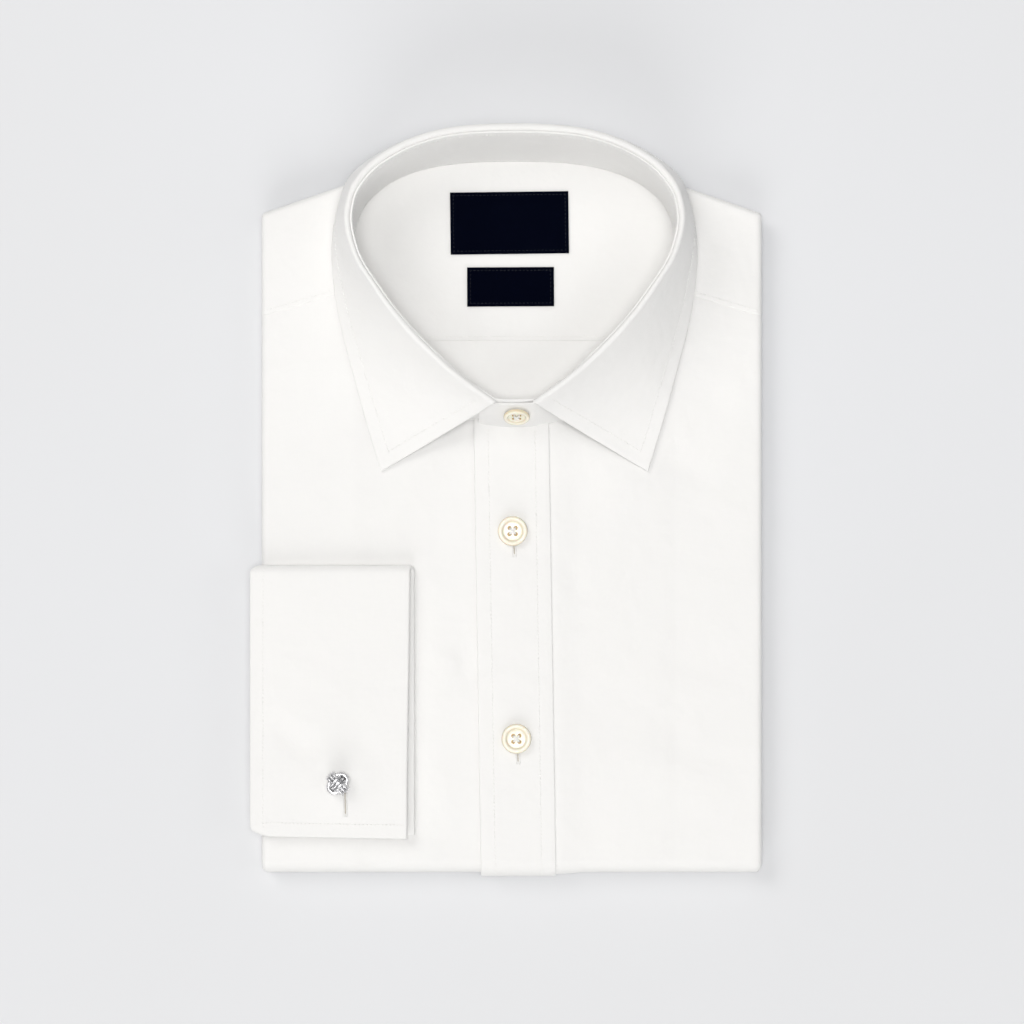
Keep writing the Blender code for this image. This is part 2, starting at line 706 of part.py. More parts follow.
def make_sleeve(material, parent):
    """The sleeve leaves the cuff, rounds the side fold and goes in under it."""
    low_z = EDGE_HEIGHT - 2 * SIDE_ROUND - 0.2
    sides = []
    for wall_in in (0.0, WALL):
        grid = []
        for y in np.linspace(CUFF_FOOT_Y + 2.0, CUFF_HEAD_Y - CUFF_HEAD_REACH - 1.0, 9):
            inside_z = cuff_floor(-115.0, float(y)) + CUFF_HALF + CUFF_INSIDE / 2 + WALL / 2
            height = inside_z - low_z + WALL
            middle_z = inside_z - height / 2
            reach = SIDE_ROUND + 2 * SEAM + WALL
            row = [(-104.0, y, inside_z - wall_in)]
            for degrees in (0, 25, 50, 75, 100, 125, 150, 180):
                angle = math.radians(degrees)
                x = BODY_HALF - SIDE_ROUND + (reach - wall_in) * math.sin(angle) ** 0.7
                row.append((-x, y, middle_z + (height / 2 - wall_in) * math.cos(angle)))
            row.append((-109.0, y, middle_z - height / 2 + wall_in))
            grid.append(row)
        sides.append(np.array(grid))
    return cloth("sleeve_right", *sides, material, parent)


def make_cufflink(material, parent):
    """Knot head, post and flat back, turned as one piece."""
    base = float(top_height(LINK_X, LINK_Y)) + SEAM
    head = LINK_BACK_THICK + 2 * SEAM + CUFF_THICK + SEAM
    profile = [(0.0, 0.0), (LINK_BACK - 0.4, 0.0), (LINK_BACK, 0.4), (LINK_BACK - 0.3, LINK_BACK_THICK)]
    profile += [(LINK_POST, LINK_BACK_THICK), (LINK_POST, head)]
    for degrees in (-60, -38, -15, 10, 35, 60):
        angle = math.radians(degrees)
        height = head + LINK_HEAD_HEIGHT * (math.sin(angle) + math.sin(math.radians(60))) / 2
        profile.append((LINK_HEAD * math.cos(angle), height))
    profile.append((0.0, head + LINK_HEAD_HEIGHT))
    return turned("cufflink", profile, (LINK_X, LINK_Y, base), 20, material, parent)


# ---- buttons, labels ---------------------------------------------------------------------------


def make_button(name, middle, tilt, size, material, parent):
    """A flat button with a raised rim and four holes; size scales its width."""
    outer = BUTTON * size
    rim = outer - BUTTON_RIM
    profile = [(0.0, 0.0), (outer - 1.6, 0.0), (outer, 1.1), (outer - 0.2, 2.1)]
    profile += [(outer - 0.9, BUTTON_THICK), (rim + 0.5, BUTTON_THICK - 0.2)]
    profile += [(rim - 0.4, BUTTON_THICK - 0.9), (0.0, BUTTON_THICK - 1.0)]
    button = turned(name, profile, middle, 28, material, parent, tilt)
    lean = math.radians(tilt)
    for k in range(4):
        angle = math.pi / 4 + k * math.pi / 2
        across, along = (BUTTON_HOLE_SPREAD * size * f(angle) for f in (math.cos, math.sin))
        hole = [(0.0, -1.0), (BUTTON_HOLE, -1.0), (BUTTON_HOLE, BUTTON_THICK), (0.0, BUTTON_THICK)]
        place = (
            middle[0] + across,
            middle[1] + along * math.cos(lean),
            middle[2] + along * math.sin(lean),
        )
        cut(button, turned(f"{name}_hole_{k + 1}", hole, place, 8, material, parent, tilt))


def make_buttons(material, parent):
    for name, x, y in BUTTON_PLACES:
        z = float(top_height(x, y)) + 2 * LAP + SEAM
        make_button(name, (x, y, z), 0.0, 1.0, material, parent)
    front = stand_end(COLLAR_BUTTON_X, 1.0)
    seam_y, rim_y = front["seam_y"] - STAND_LAP, front["rim_y"] - STAND_LAP
    base = float(top_height(NECK_X, seam_y)) - WALL
    slope = math.atan2(front["rim_z"] - base, rim_y - seam_y)
    clear = STAND_WALL / 2 + SEAM + 0.7
    y = seam_y + (rim_y - seam_y) * COLLAR_BUTTON_UP - clear * math.sin(slope)
    z = base + (front["rim_z"] - base) * COLLAR_BUTTON_UP + clear * math.cos(slope)
    place = (NECK_X + COLLAR_BUTTON_X, y, z)
    make_button("button_collar", place, math.degrees(slope), COLLAR_BUTTON_SIZE, material, parent)


def make_labels(material, parent):
    for name, width, length, mid_x, mid_y, turn in LABELS:
        lean = math.radians(turn)
        sides = []
        for height in (SEAM + LABEL_THICK, SEAM):
            grid = []
            for along in np.linspace(-length / 2, length / 2, 4):
                row = []
                for across in np.linspace(-width / 2, width / 2, 7):
                    x = mid_x + across * math.cos(lean) - along * math.sin(lean)
                    y = mid_y + across * math.sin(lean) + along * math.cos(lean)
                    row.append((x, y, float(top_height(x, y)) - LAP + height))
                grid.append(row)
            sides.append(np.array(grid))
        cloth(name, *sides, material, parent)


# ---- the whole shirt ------------------------------------------------------------------------


def centre_on_floor(carrier):
    """Moves the carrier so that the origin is the middle of the shirt's box, on the surface it lies on."""
    low, high = np.full(3, np.inf), np.full(3, -np.inf)
    for piece in bpy.data.objects:
        if piece.type != "MESH" or piece.hide_render:
            continue
        points = np.array([tuple(v.co) for v in piece.data.vertices])
        low, high = np.minimum(low, points.min(axis=0)), np.maximum(high, points.max(axis=0))
    middle = (low + high) / 2
    carrier.location = (-middle[0], -middle[1], -low[2])


def main():
    clear_scene()
    carrier = bpy.data.objects.new("shirt", None)
    bpy.context.scene.collection.objects.link(carrier)
    cotton = make_material("white_cotton", (0.91, 0.905, 0.89), 0.85, sheen=0.2)
    woven = make_material("navy_label", (0.004, 0.006, 0.016), 0.7)
    shell = make_material("cream_button", (0.88, 0.82, 0.68), 0.28)
    silver = make_material("silver", (0.78, 0.78, 0.79), 0.22, metallic=1.0)

    make_folded_layers(cotton, carrier)
    make_layer("back", lambda x: 14.0, lambda x: YOKE_INNER_SEAM_Y - SEAM, 112.0, cotton, carrier)
    make_layer(
        "yoke_inner",
        lambda x: YOKE_INNER_SEAM_Y,
        lambda x: shoulder_y(x) - 6.0,
        112.0,
        cotton,
        carrier,
    )
    make_front_right(cotton, carrier)
    make_front_left(cotton, carrier)
    make_placket(cotton, carrier)
    make_yoke(cotton, carrier)
    make_collar_stand(cotton, carrier)
    make_collar_leaf(cotton, carrier)
    make_cuff(cotton, carrier)
    make_sleeve(cotton, carrier)
    make_labels(woven, carrier)
    make_buttons(shell, carrier)
    make_cufflink(silver, carrier)
    centre_on_floor(carrier)


main()
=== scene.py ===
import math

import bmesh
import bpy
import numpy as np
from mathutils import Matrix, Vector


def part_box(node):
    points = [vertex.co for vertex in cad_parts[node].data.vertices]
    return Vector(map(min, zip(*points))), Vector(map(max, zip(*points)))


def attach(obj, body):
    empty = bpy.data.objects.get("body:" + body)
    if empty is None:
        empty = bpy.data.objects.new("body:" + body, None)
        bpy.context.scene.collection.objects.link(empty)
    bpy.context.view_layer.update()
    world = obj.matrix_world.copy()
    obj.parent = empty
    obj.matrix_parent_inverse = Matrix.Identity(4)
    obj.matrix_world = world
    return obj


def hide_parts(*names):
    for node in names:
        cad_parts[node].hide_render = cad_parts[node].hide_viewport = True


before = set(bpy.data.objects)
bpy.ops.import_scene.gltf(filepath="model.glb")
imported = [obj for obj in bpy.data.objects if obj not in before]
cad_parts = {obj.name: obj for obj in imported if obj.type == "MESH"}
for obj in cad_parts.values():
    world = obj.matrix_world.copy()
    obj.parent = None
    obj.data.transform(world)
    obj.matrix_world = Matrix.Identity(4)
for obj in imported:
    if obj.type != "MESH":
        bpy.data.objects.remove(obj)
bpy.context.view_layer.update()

# Looks of a long sleeve dress shirt, folded and lying face up.
#
# Sizes are the pattern's millimetres in the shirt's own frame: X is 0 on the middle of the body, Y
# is 0 at the bottom fold and runs to the collar, and Z is 0 on the surface that the shirt lies on.
# ORIGIN carries that frame to the model's. MM grades a pattern millimetre down to this shirt, whose
# collar is 40 cm round, in metres, and metres() takes points to the model with both. "Left" and
# "right" are the wearer's, so left is at +X. A grid of points holds rows, then columns, then x, y,
# z, and it is laid so that the cross product of its rows' run with its columns' run points outwards.

GRADE = 0.9  # the pattern is for a larger collar than this shirt's
MM = 0.001 * GRADE


def node_box(name):
    """Lowest and highest corner of a node, in pattern millimetres."""
    return tuple(np.array(corner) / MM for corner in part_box(name))


# ---- the shirt's frame and driving sizes, pattern millimetres ----------------------------------

BODY_HALF = 120.0  # half the folded width
FOLD_REACH = 7.0  # how far the bottom fold bulges
LAYERS_START = FOLD_REACH + 0.5  # the folded layers begin here

BACK_LOW, BACK_HIGH = node_box("back")
LAYERS_LOW = node_box("folded_layers")[0]
ORIGIN = np.array([(BACK_LOW[0] + BACK_HIGH[0]) / 2, LAYERS_LOW[1] - LAYERS_START, 0.0])


def metres(points):
    """Points of the shirt's frame, in the model's frame."""
    return (np.asarray(points) + ORIGIN) * MM


EDGE_HEIGHT = 14.0  # top of the fronts at the side folds
CROWN = 1.5  # how much the middle stands above the side folds
CROWN_RUN = 60.0  # it rises over this length from either end
SIDE_ROUND = 2.8  # radius of the fold along each side
TURN_UNDER = 12.0  # how far a front runs back inside its side fold
CLOTH = 0.7  # wall of the cloth
DOUBLE = {"wall": 0.8, "roll": 0.4}  # the placket's and the cuff's wall, and the roll of their edges
SEAM = 0.3
FRONT_SWAY = 0.22  # slow unevenness of a front
FRONT_LOOSE = (116.0, 20.0)  # a front lies loose within the first, and fades out over the second
UNDER_LOOSE = (110.0, 20.0)
UNDER_CLEAR = 0.06  # least height of the underside
PLACKET_NEAR = (60.0, 35.0)  # columns within this follow the placket's lean
PLACKET_ZONE = (36.0, 14.0)  # and on the underside those within this make room for its laps

SHOULDER_TIP_Y = 316.7
SHOULDER_SLOPE = 0.345
NECK_POINT_X = 60.0
BACK_NECK_Y = 346.0
YOKE_SEAM_SIDE_Y = 267.4
YOKE_SEAM_SLOPE = 0.29
YOKE_INNER_SEAM_Y = 255.8
YOKE_STEP = 0.45  # the yoke stands this much above the fronts at its seam
SEAM_TUCK = 5.0  # the fronts run this far under the yoke

PLACKET_WIDTH = 35.2
PLACKET_TOP_X = -0.2
PLACKET_FOOT_X = 3.2
PLACKET_STITCH = 6.5  # topstitching, in from each edge
DIMPLE = 0.09  # depth of the cloth along a row of topstitching
LAP = 1.0  # height of one cloth over another
FRONT_UNDER_X = 13.0
UNDER_LAP = 1.3  # the inner yoke's face lies this much below the fronts'

NECK_X = 1.3
NECK_HALF = 77.5
NECK_SIDE_Y = 297.0
NECK_FRONT_Y = 214.0
NECK_BACK_Y = 341.9
NECK_BACK_POWER = 2.6
NECK_EDGE = 0.6  # the yoke runs this near the seam line, into the stand
PLACKET_TOP = -0.4  # and the left front and its placket go this far past it
PLACKET_EAR = 1.6  # further still at the corner that the stand's over end leaves bare

FOLD_ROLL = 1.3  # radius of the leaf's roll
STAND_WALL = 1.0
STAND_FOOT = 1.0  # its seam lies this much below the fronts' face
LEAF_WALL = 1.1
STAND_RISE = 1.2  # its top stands this much above the leaf's inner face
STAND_PROUD = 1.0  # and this much inside it
STAND_LAP = 0.95
STAND_OVER_X = -17.0
STAND_UNDER_X = 15.0
STAND_END_ROUND = 8.0
STAND_END_LOW = 0.55
LEAF_STITCH = 6.0  # topstitching, in from the leaf's edges
STAND_SEAM_STITCH, STAND_RIM_STITCH = 2.2, 2.0  # edge stitching, in from the stand's edges

CUFF_FREE_X = -124.8
CUFF_WRIST_X = -48.4
CUFF_LOWER_OUT = 2.0
CUFF_LOWER_IN = 9.0
CUFF_LOWER_IN_X = -106.0
CUFF_BEND_SHARE = 0.12
CUFF_FOOT_Y = 19.1
CUFF_HEAD_Y = 148.0
CUFF_HEAD_REACH = 4.0
CUFF_PLY = 1.0
CUFF_HALF = 2 * CUFF_PLY + SEAM
CUFF_INSIDE = 2.0
CUFF_THICK = 2 * CUFF_HALF + CUFF_INSIDE
CUFF_INNER_X = -117.0
CUFF_DROOP = 2.2
CUFF_DROOP_X = -112.0
CUFF_CORNER = 5.0  # rounding of the free edge's corners
CUFF_SLANT = 1.5  # the upper half runs this much askew by its foot
CUFF_STITCH = 6.2
YOKE_STITCH, YOKE_INNER_STITCH, LABEL_STITCH = 1.8, 1.6, 1.3

LINK_X, LINK_Y = -82.6, 44.6
LINK_BACK = 5.0
LINK_BACK_THICK = 1.2
LINK_BUMP = 24.0
LINK_HEAD_HEIGHT = 7.4

BUTTON = 7.1  # radius
BUTTON_THICK = 2.6
BUTTON_HOLE = 0.82
BUTTON_HOLE_SPREAD = 2.1
BUTTON_PLACES = (("button_front_1", 0.4, 164.3), ("button_front_2", 2.2, 65.1))
COLLAR_BUTTON_X = 1.0
COLLAR_BUTTON_SIZE = 0.88
COLLAR_BUTTON_UP = 0.66  # share of the stand's height

LABELS = (  # name, width, length, middle x, middle y, turn in degrees
    ("label_main", 56.2, 29.4, -1.1, 312.0, 0.7),
    ("label_size", 41.1, 18.3, -0.6, 281.3, 0.3),
)

LABEL_LIFT = 0.75  # the labels' face above the inner yoke's

FRONT_STEP = 2.6  # between the columns of a front's flat part
BACK_HALF = 112.0  # half the width of the plies inside
BACK_FOOT_Y = 14.0
BACK_SINK = 0.25  # the back lies this much below the inner yoke
TAIL_TOP_Y = 312.0  # fold at the top of the turned-up tail
TAIL_ROUND = 2.8

# Half of the collar, from the front end to the middle of the back. x is from the collar's axis.
COLLAR_COLUMNS = "seam_x seam_y rim_x rim_y rim_z edge_x edge_y edge_z".split()
COLLAR_STATIONS = (
    (9.0, 214.6, 9.0, 225.6, 35.5, 63.6, 193.4, 16.3),
    (30.0, 219.6, 27.0, 238.6, 39.0, 70.0, 214.5, 16.4),
    (50.5, 234.0, 43.5, 253.8, 42.5, 77.0, 240.0, 16.4),
    (65.5, 252.6, 55.5, 267.0, 45.0, 83.5, 266.0, 16.2),
    (74.3, 277.0, 65.0, 279.8, 47.0, 86.4, 286.0, 16.0),
    (77.4, 297.0, 73.0, 292.6, 48.0, 87.0, 300.0, 16.0),
    (76.4, 310.0, 77.0, 306.8, 48.5, 85.6, 312.5, 16.0),
    (72.6, 319.4, 76.5, 317.4, 48.5, 82.6, 324.0, 16.0),
    (66.8, 326.2, 73.0, 326.2, 48.5, 78.6, 333.6, 13.5),
    (57.5, 332.8, 64.0, 336.0, 48.3, 68.5, 342.5, 6.0),
    (43.0, 338.2, 48.0, 345.0, 48.2, 51.0, 349.6, 4.0),
    (24.0, 341.2, 28.0, 350.4, 48.0, 29.5, 354.2, 3.5),
    (0.0, 341.9, 0.0, 351.9, 48.0, 0.0, 355.6, 3.5),
)

# Soft creases: the two ends, the height (a trough is below 0) and the half width.
FRONT_CREASES = (
    ((-14, 172), (14, 190), -0.55, 5.0),
    ((-16, 186), (12, 202), 0.4, 5.0),
    ((-24, 118), (-21, 84), -0.8, 6.0),
    ((-40, 108), (-22, 96), 0.8, 6.0),
    ((-30, 176), (-36, 140), -0.7, 7.0),
    ((20, 172), (46, 194), -0.8, 7.0),
    ((24, 160), (32, 128), -0.6, 6.0),
    ((34, 205), (66, 168), 0.8, 11.0),
    ((-34, 196), (-78, 160), 0.8, 11.0),
    ((60, 110), (112, 96), -0.7, 10.0),
    ((48, 60), (104, 34), 0.7, 11.0),
    ((-60, 230), (-108, 246), 0.7, 9.0),
    ((-84, 214), (-112, 206), -0.6, 7.0),
    ((88, 232), (114, 214), -0.8, 9.0),
    ((64, 206), (100, 186), -0.6, 8.0),
    ((-36, 54), (-28, 20), 0.6, 7.0),
    ((38, 26), (46, 2), -0.6, 6.0),
    ((70, 84), (84, 58), -0.6, 8.0),
    ((-104, 188), (-116, 160), -0.7, 6.0),
)
UNDER_CREASES = (
    ((-90, 60), (-40, 120), 0.5, 11.0),
    ((60, 210), (104, 150), 0.5, 12.0),
    ((-100, 260), (-50, 240), 0.45, 9.0),
    ((40, 40), (70, 100), 0.45, 10.0),
    ((-30, 180), (-60, 290), 0.4, 9.0),
)
CUFF_CREASES = (
    ((-118, 79), (-94, 53), -0.9, 6.5),
    ((-112, 84), (-84, 63), 0.4, 6.0),
    ((-72, 128), (-58, 96), 0.35, 8.0),
    ((-66, 34), (-55, 60), -0.3, 6.0),
)
BACK_CREASES = (
    ((-30, 236), (8, 246), 0.5, 6.0),
    ((-40, 300), (-62, 270), 0.4, 6.0),
    ((44, 262), (30, 306), -0.4, 6.0),
    ((-24, 262), (24, 268), 0.35, 5.0),
)


# ---- shapes of the folded body -----------------------------------------------------------------


def smooth(t):
    t = np.clip(t, 0.0, 1.0)
    return t * t * (3 - 2 * t)


def bell(t):
    return np.exp(-(t**2))


def round_off(radius, degrees):
    """(outward, down) along an arc that starts level."""
    return [(radius * math.sin(a), radius * (1 - math.cos(a))) for a in np.radians(degrees)]


def within(x, reach_and_fade):
    """1 near the middle, and down to 0 at the reach."""
    reach, fade = reach_and_fade
    return smooth((reach - np.abs(x)) / fade)


def creased(x, y, creases):
    """Sum of soft creases at a point."""
    height = np.zeros(np.broadcast(x, y).shape)
    for (from_x, from_y), (to_x, to_y), rise, half in creases:
        run_x, run_y = to_x - from_x, to_y - from_y
        share = ((x - from_x) * run_x + (y - from_y) * run_y) / (run_x**2 + run_y**2)
        share = np.clip(share, 0, 1)
        away = np.hypot(x - from_x - share * run_x, y - from_y - share * run_y)
        height = height + rise * np.sin(math.pi * share) * bell(away / half)
    return height


def sway(x, y):
    """Slow unevenness of cloth that lies loose, from about -1 to 1."""
    waves = ((0.061, 0.023, 0.4), (-0.034, 0.052, 2.1), (0.019, -0.083, 4.4), (0.093, 0.071, 1.3))
    return sum(np.sin(a * x + b * y + c) for a, b, c in waves) / len(waves)


def top_height(x, y):
    """Height of the fronts' outer face, before its creases."""
    across = np.cos(np.clip(np.abs(x) / BODY_HALF, 0, 1) * math.pi / 2)
    along = smooth(y / CROWN_RUN) * smooth((BACK_NECK_Y - y) / CROWN_RUN)
    return EDGE_HEIGHT + CROWN * across * along


def placket_middle(y):
    share = np.clip(y / NECK_FRONT_Y, 0, 1)
    return PLACKET_FOOT_X + (PLACKET_TOP_X - PLACKET_FOOT_X) * share


def placket_under(y):
    """Middle of the placket on the underside, where it runs on past the bottom fold."""
    return PLACKET_FOOT_X + (PLACKET_FOOT_X - PLACKET_TOP_X) * y / NECK_FRONT_Y


def shoulder_y(x):
    """Top outline of the folded body."""
    x = np.abs(x)
    line = SHOULDER_TIP_Y + SHOULDER_SLOPE * (BODY_HALF - x)
    neck_y = SHOULDER_TIP_Y + SHOULDER_SLOPE * (BODY_HALF - NECK_POINT_X)
    share = smooth((NECK_POINT_X - x) / NECK_POINT_X)
    return np.where(x > NECK_POINT_X, line, neck_y + (BACK_NECK_Y - neck_y) * share)


def yoke_seam_y(x):
    return YOKE_SEAM_SIDE_Y + YOKE_SEAM_SLOPE * (BODY_HALF - np.abs(x))


def neck_front_y(x, edge=NECK_EDGE):
    """Neck edge of the fronts, this far outside the seam line."""
    share = np.clip(np.abs(x - NECK_X) / (NECK_HALF + edge), 0, 1)
    return NECK_SIDE_Y - (NECK_SIDE_Y - NECK_FRONT_Y + edge) * np.sqrt(1 - share**2)


def neck_back_y(x):
    """Neck edge of the yoke."""
    share = np.clip(np.abs(x - NECK_X) / (NECK_HALF + NECK_EDGE), 0, 1)
    rise = NECK_BACK_Y - NECK_SIDE_Y + NECK_EDGE
    return NECK_SIDE_Y + rise * (1 - share**NECK_BACK_POWER) ** (1 / NECK_BACK_POWER)


def front_top_y(x, edge):
    """Top edge of a front: the neck's curve, then on under the yoke's seam."""
    return np.minimum(yoke_seam_y(x) + SEAM_TUCK, neck_front_y(x, edge))


def front_height(x, y):
    """Height of a front's outer face, with its creases, tucked under the yoke at the seam."""
    loose = within(x, FRONT_LOOSE) * smooth(y / 25)
    height = top_height(x, y) + loose * (FRONT_SWAY * sway(x, y) + creased(x, y, FRONT_CREASES))
    return height - YOKE_STEP * smooth((y - yoke_seam_y(x) + 1.0) / 1.5)


def inside_height(x, y):
    """Height of the inner yoke's face and, a little below, of the back's."""
    return top_height(x, y) - UNDER_LAP + 0.15 * sway(x * 1.6, y * 1.6) + creased(x, y, BACK_CREASES)


def cuff_rumple(x, y):
    """Creases and unevenness of the cuff's upper face."""
    return creased(x, y, CUFF_CREASES) + 0.12 * sway(x * 2, y * 2)


# ---- grids -------------------------------------------------------------------------------------


def grid_normals(points):
    """Unit normals of a grid of points."""
    normals = np.cross(np.gradient(points, axis=0), np.gradient(points, axis=1))
    return normals / np.maximum(np.linalg.norm(normals, axis=2, keepdims=True), 1e-9)


def run_lengths(points, axis):
    """Length run along an axis of a grid, at each point."""
    steps = np.linalg.norm(np.diff(points, axis=axis), axis=2)
    return np.insert(np.cumsum(steps, axis=axis), 0, 0.0, axis=axis)


def edges_turned(points, normals, turns):
    """Adds rows and columns beyond a grid's four edges; turns holds (outward, down) for each."""
    for axis in (0, 1):
        p, n = np.moveaxis(points, axis, 0), np.moveaxis(normals, axis, 0)
        out_first, out_last = p[0] - p[1], p[-1] - p[-2]
        sides = []
        for edge, normal, out in ((p[0], n[0], out_first), (p[-1], n[-1], out_last)):
            out = out - normal * (out * normal).sum(axis=1, keepdims=True)
            out = out / np.maximum(np.linalg.norm(out, axis=1, keepdims=True), 1e-9)
            sides.append([edge + out * outward - normal * down for outward, down in turns])
        ends = [np.repeat(n[i : i + 1], len(turns), axis=0) for i in (0, len(n) - 1)]
        p = np.concatenate([sides[0][::-1], p, sides[1]])
        n = np.concatenate([ends[0], n, ends[1]])
        points, normals = np.moveaxis(p, 0, axis), np.moveaxis(n, 0, axis)
    return points


def quads(rows, columns, start=0):
    """Faces of a grid whose points are numbered along its rows."""
    first = start + (np.arange(rows - 1)[:, None] * columns + np.arange(columns - 1)).ravel()
    return np.stack([first, first + columns, first + columns + 1, first + 1], axis=1)


def rim_quads(rows, columns, start, other):
    """Faces that join the edges of two grids of one size."""
    edge = list(range(columns))
    edge += [r * columns + columns - 1 for r in range(1, rows)]
    edge += [(rows - 1) * columns + c for c in range(columns - 2, -1, -1)]
    edge += [r * columns for r in range(rows - 2, 0, -1)]
    edge = np.array(edge)
    after = np.roll(edge, -1)
    return np.stack([start + edge, start + after, other + after, other + edge], axis=1)


def sample(grid, rows, columns):
    """Points of a grid at fractional rows and columns."""
    rows = np.clip(rows, 0, grid.shape[0] - 1.001)
    columns = np.clip(columns, 0, grid.shape[1] - 1.001)
    r, c = rows.astype(int), columns.astype(int)
    u, v = (rows - r)[:, None], (columns - c)[:, None]
    near = grid[r, c] * (1 - v) + grid[r, c + 1] * v
    far = grid[r + 1, c] * (1 - v) + grid[r + 1, c + 1] * v
    return near * (1 - u) + far * u


def inset_line(grid, side, inset, trim=(0.0, 0.0), span=(0.0, 1.0), face=0.0):
    """(points, normals) on a grid along one of its edges. side is "first" or "last", with "row" or
    "column". trim shortens the line's two ends, span is the share of the edge that it follows, and a
    face above 0 lays it on the other face of a wall that thick."""
    end, axis = side.split()
    laid = grid if axis == "column" else np.swapaxes(grid, 0, 1)
    if end == "last":
        laid = laid[:, ::-1]
    count = laid.shape[0]
    rows = np.linspace(span[0], span[1], 2 * count) * (count - 1)
    lengths = run_lengths(laid, 1)
    at_row = lengths[np.round(rows).astype(int)]
    columns = np.array([np.interp(inset, run, np.arange(len(run))) for run in at_row])
    if end == "last":
        columns = laid.shape[1] - 1 - columns
    normals = grid_normals(grid)
    at = (rows, columns) if axis == "column" else (columns, rows)
    points, up = sample(grid, *at), sample(normals, *at)
    if face > 0:
        points, up = points - up * face, -up
    run = np.insert(np.cumsum(np.linalg.norm(np.diff(points, axis=0), axis=1)), 0, 0.0)
    kept = (run >= trim[0]) & (run <= run[-1] - trim[1])
    return points[kept], up[kept]


# ---- making objects ----------------------------------------------------------------------------


def object_of(name, mesh, material):
    """An object at the origin that holds a smooth mesh of one material."""
    mesh.shade_smooth()
    mesh.materials.append(material)
    made = bpy.data.objects.new(name, mesh)
    bpy.context.scene.collection.objects.link(made)
    return made


def faced_piece(name, top, bottom, material, apart=True):
    """Cloth from its outer and inner face, two grids that are joined round their edges where they
    are apart. Its UV holds the lengths run over the outer face."""
    rows, columns = top.shape[:2]
    count = rows * columns
    points = np.concatenate([top.reshape(-1, 3), bottom.reshape(-1, 3)])
    faces = [quads(rows, columns), quads(rows, columns, count)[:, ::-1]]
    if apart:
        faces.append(rim_quads(rows, columns, 0, count))
    mesh = bpy.data.meshes.new(name)
    mesh.from_pydata(metres(points).tolist(), [], np.concatenate(faces).tolist())
    run = np.stack([run_lengths(top, 1), run_lengths(top, 0)], axis=2).reshape(-1, 2) * MM
    corner = np.empty(len(mesh.loops), int)
    mesh.loops.foreach_get("vertex_index", corner)
    mesh.uv_layers.new(name="cloth").data.foreach_set("uv", run[corner % count].ravel())
    shape = bmesh.new()
    shape.from_mesh(mesh)
    bmesh.ops.remove_doubles(shape, verts=shape.verts, dist=1e-7)
    if shape.calc_volume(signed=True) < 0:
        bmesh.ops.reverse_faces(shape, faces=shape.faces)
    shape.to_mesh(mesh)
    shape.free()
    return object_of(name, mesh, material)


def cloth_piece(name, outer, material, wall=CLOTH, roll=0.35):
    """Cloth with an outer face, its edges rolled over, and an inner face a wall below."""
    normals = grid_normals(outer)
    top = edges_turned(outer, normals, round_off(roll, (35, 65, 90)))
    inner_turns = [(0.3 * roll, 0.0), (0.65 * roll, 0.0), (0.9 * roll, -0.12 * wall)]
    bottom = edges_turned(outer - normals * wall, normals, inner_turns)
    return faced_piece(name, top, bottom, material)


def finish_cloth(piece, node):
    """Puts a cloth piece on the frame, in the place of the node that it was folded from."""
    finish_part(piece, [node])


def lay_cloth(name, grid, material, rests_on, held="folded", slot="white_cotton", **edges):
    """A finished cloth piece that takes the place of the node of its name."""
    finish_cloth(cloth_piece(name, grid, material, **edges), name)


def finish_part(piece, nodes=()):
    """Puts a piece on the frame, in the place of the nodes given."""
    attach(piece, "root")
    if nodes:
        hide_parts(*nodes)


def merged(name, parts, material):
    """One piece from several (points, faces)."""
    points, faces, count = [], [], 0
    for some_points, some_faces in parts:
        points.append(some_points)
        faces += [tuple(count + i for i in face) for face in some_faces]
        count += len(some_points)
    mesh = bpy.data.meshes.new(name)
    mesh.from_pydata(metres(np.concatenate(points)).tolist(), [], faces)
    shape = bmesh.new()
    shape.from_mesh(mesh)
    bmesh.ops.recalc_face_normals(shape, faces=shape.faces)
    shape.to_mesh(mesh)
    shape.free()
    return object_of(name, mesh, material)


def tube(points, radius, sides=8, closed=False):
    """(points, faces) of a round strand along a path."""
    points = np.asarray(points, float)
    if closed:
        run = np.roll(points, -1, axis=0) - np.roll(points, 1, axis=0)
    else:
        run = np.gradient(points, axis=0)
    run /= np.linalg.norm(run, axis=1, keepdims=True)
    side = np.cross(run[0], (0.31, 0.42, 0.85))
    rings = []
    for point, ahead in zip(points, run):
        side = side - ahead * (side @ ahead)
        side /= np.linalg.norm(side)
        other = np.cross(ahead, side)
        angles = np.arange(sides) * 2 * math.pi / sides
        ring = np.cos(angles)[:, None] * side + np.sin(angles)[:, None] * other
        rings.append(point + radius * ring)
    count = len(points)
    faces = []
    for r in range(count if closed else count - 1):
        after = (r + 1) % count
        shift = 0
        if closed and after == 0:  # the frame has turned on its way round
            gaps = np.linalg.norm(rings[0] - rings[-1][0], axis=1)
            shift = int(np.argmin(gaps))
        for s in range(sides):
            t = (s + 1) % sides
            low = (r * sides + s, r * sides + t)
            high = (after * sides + (t + shift) % sides, after * sides + (s + shift) % sides)
            faces.append((*low, *high))
    if not closed:
        faces.append(tuple(range(sides))[::-1])
        faces.append(tuple((count - 1) * sides + s for s in range(sides)))
    return np.concatenate(rings), faces


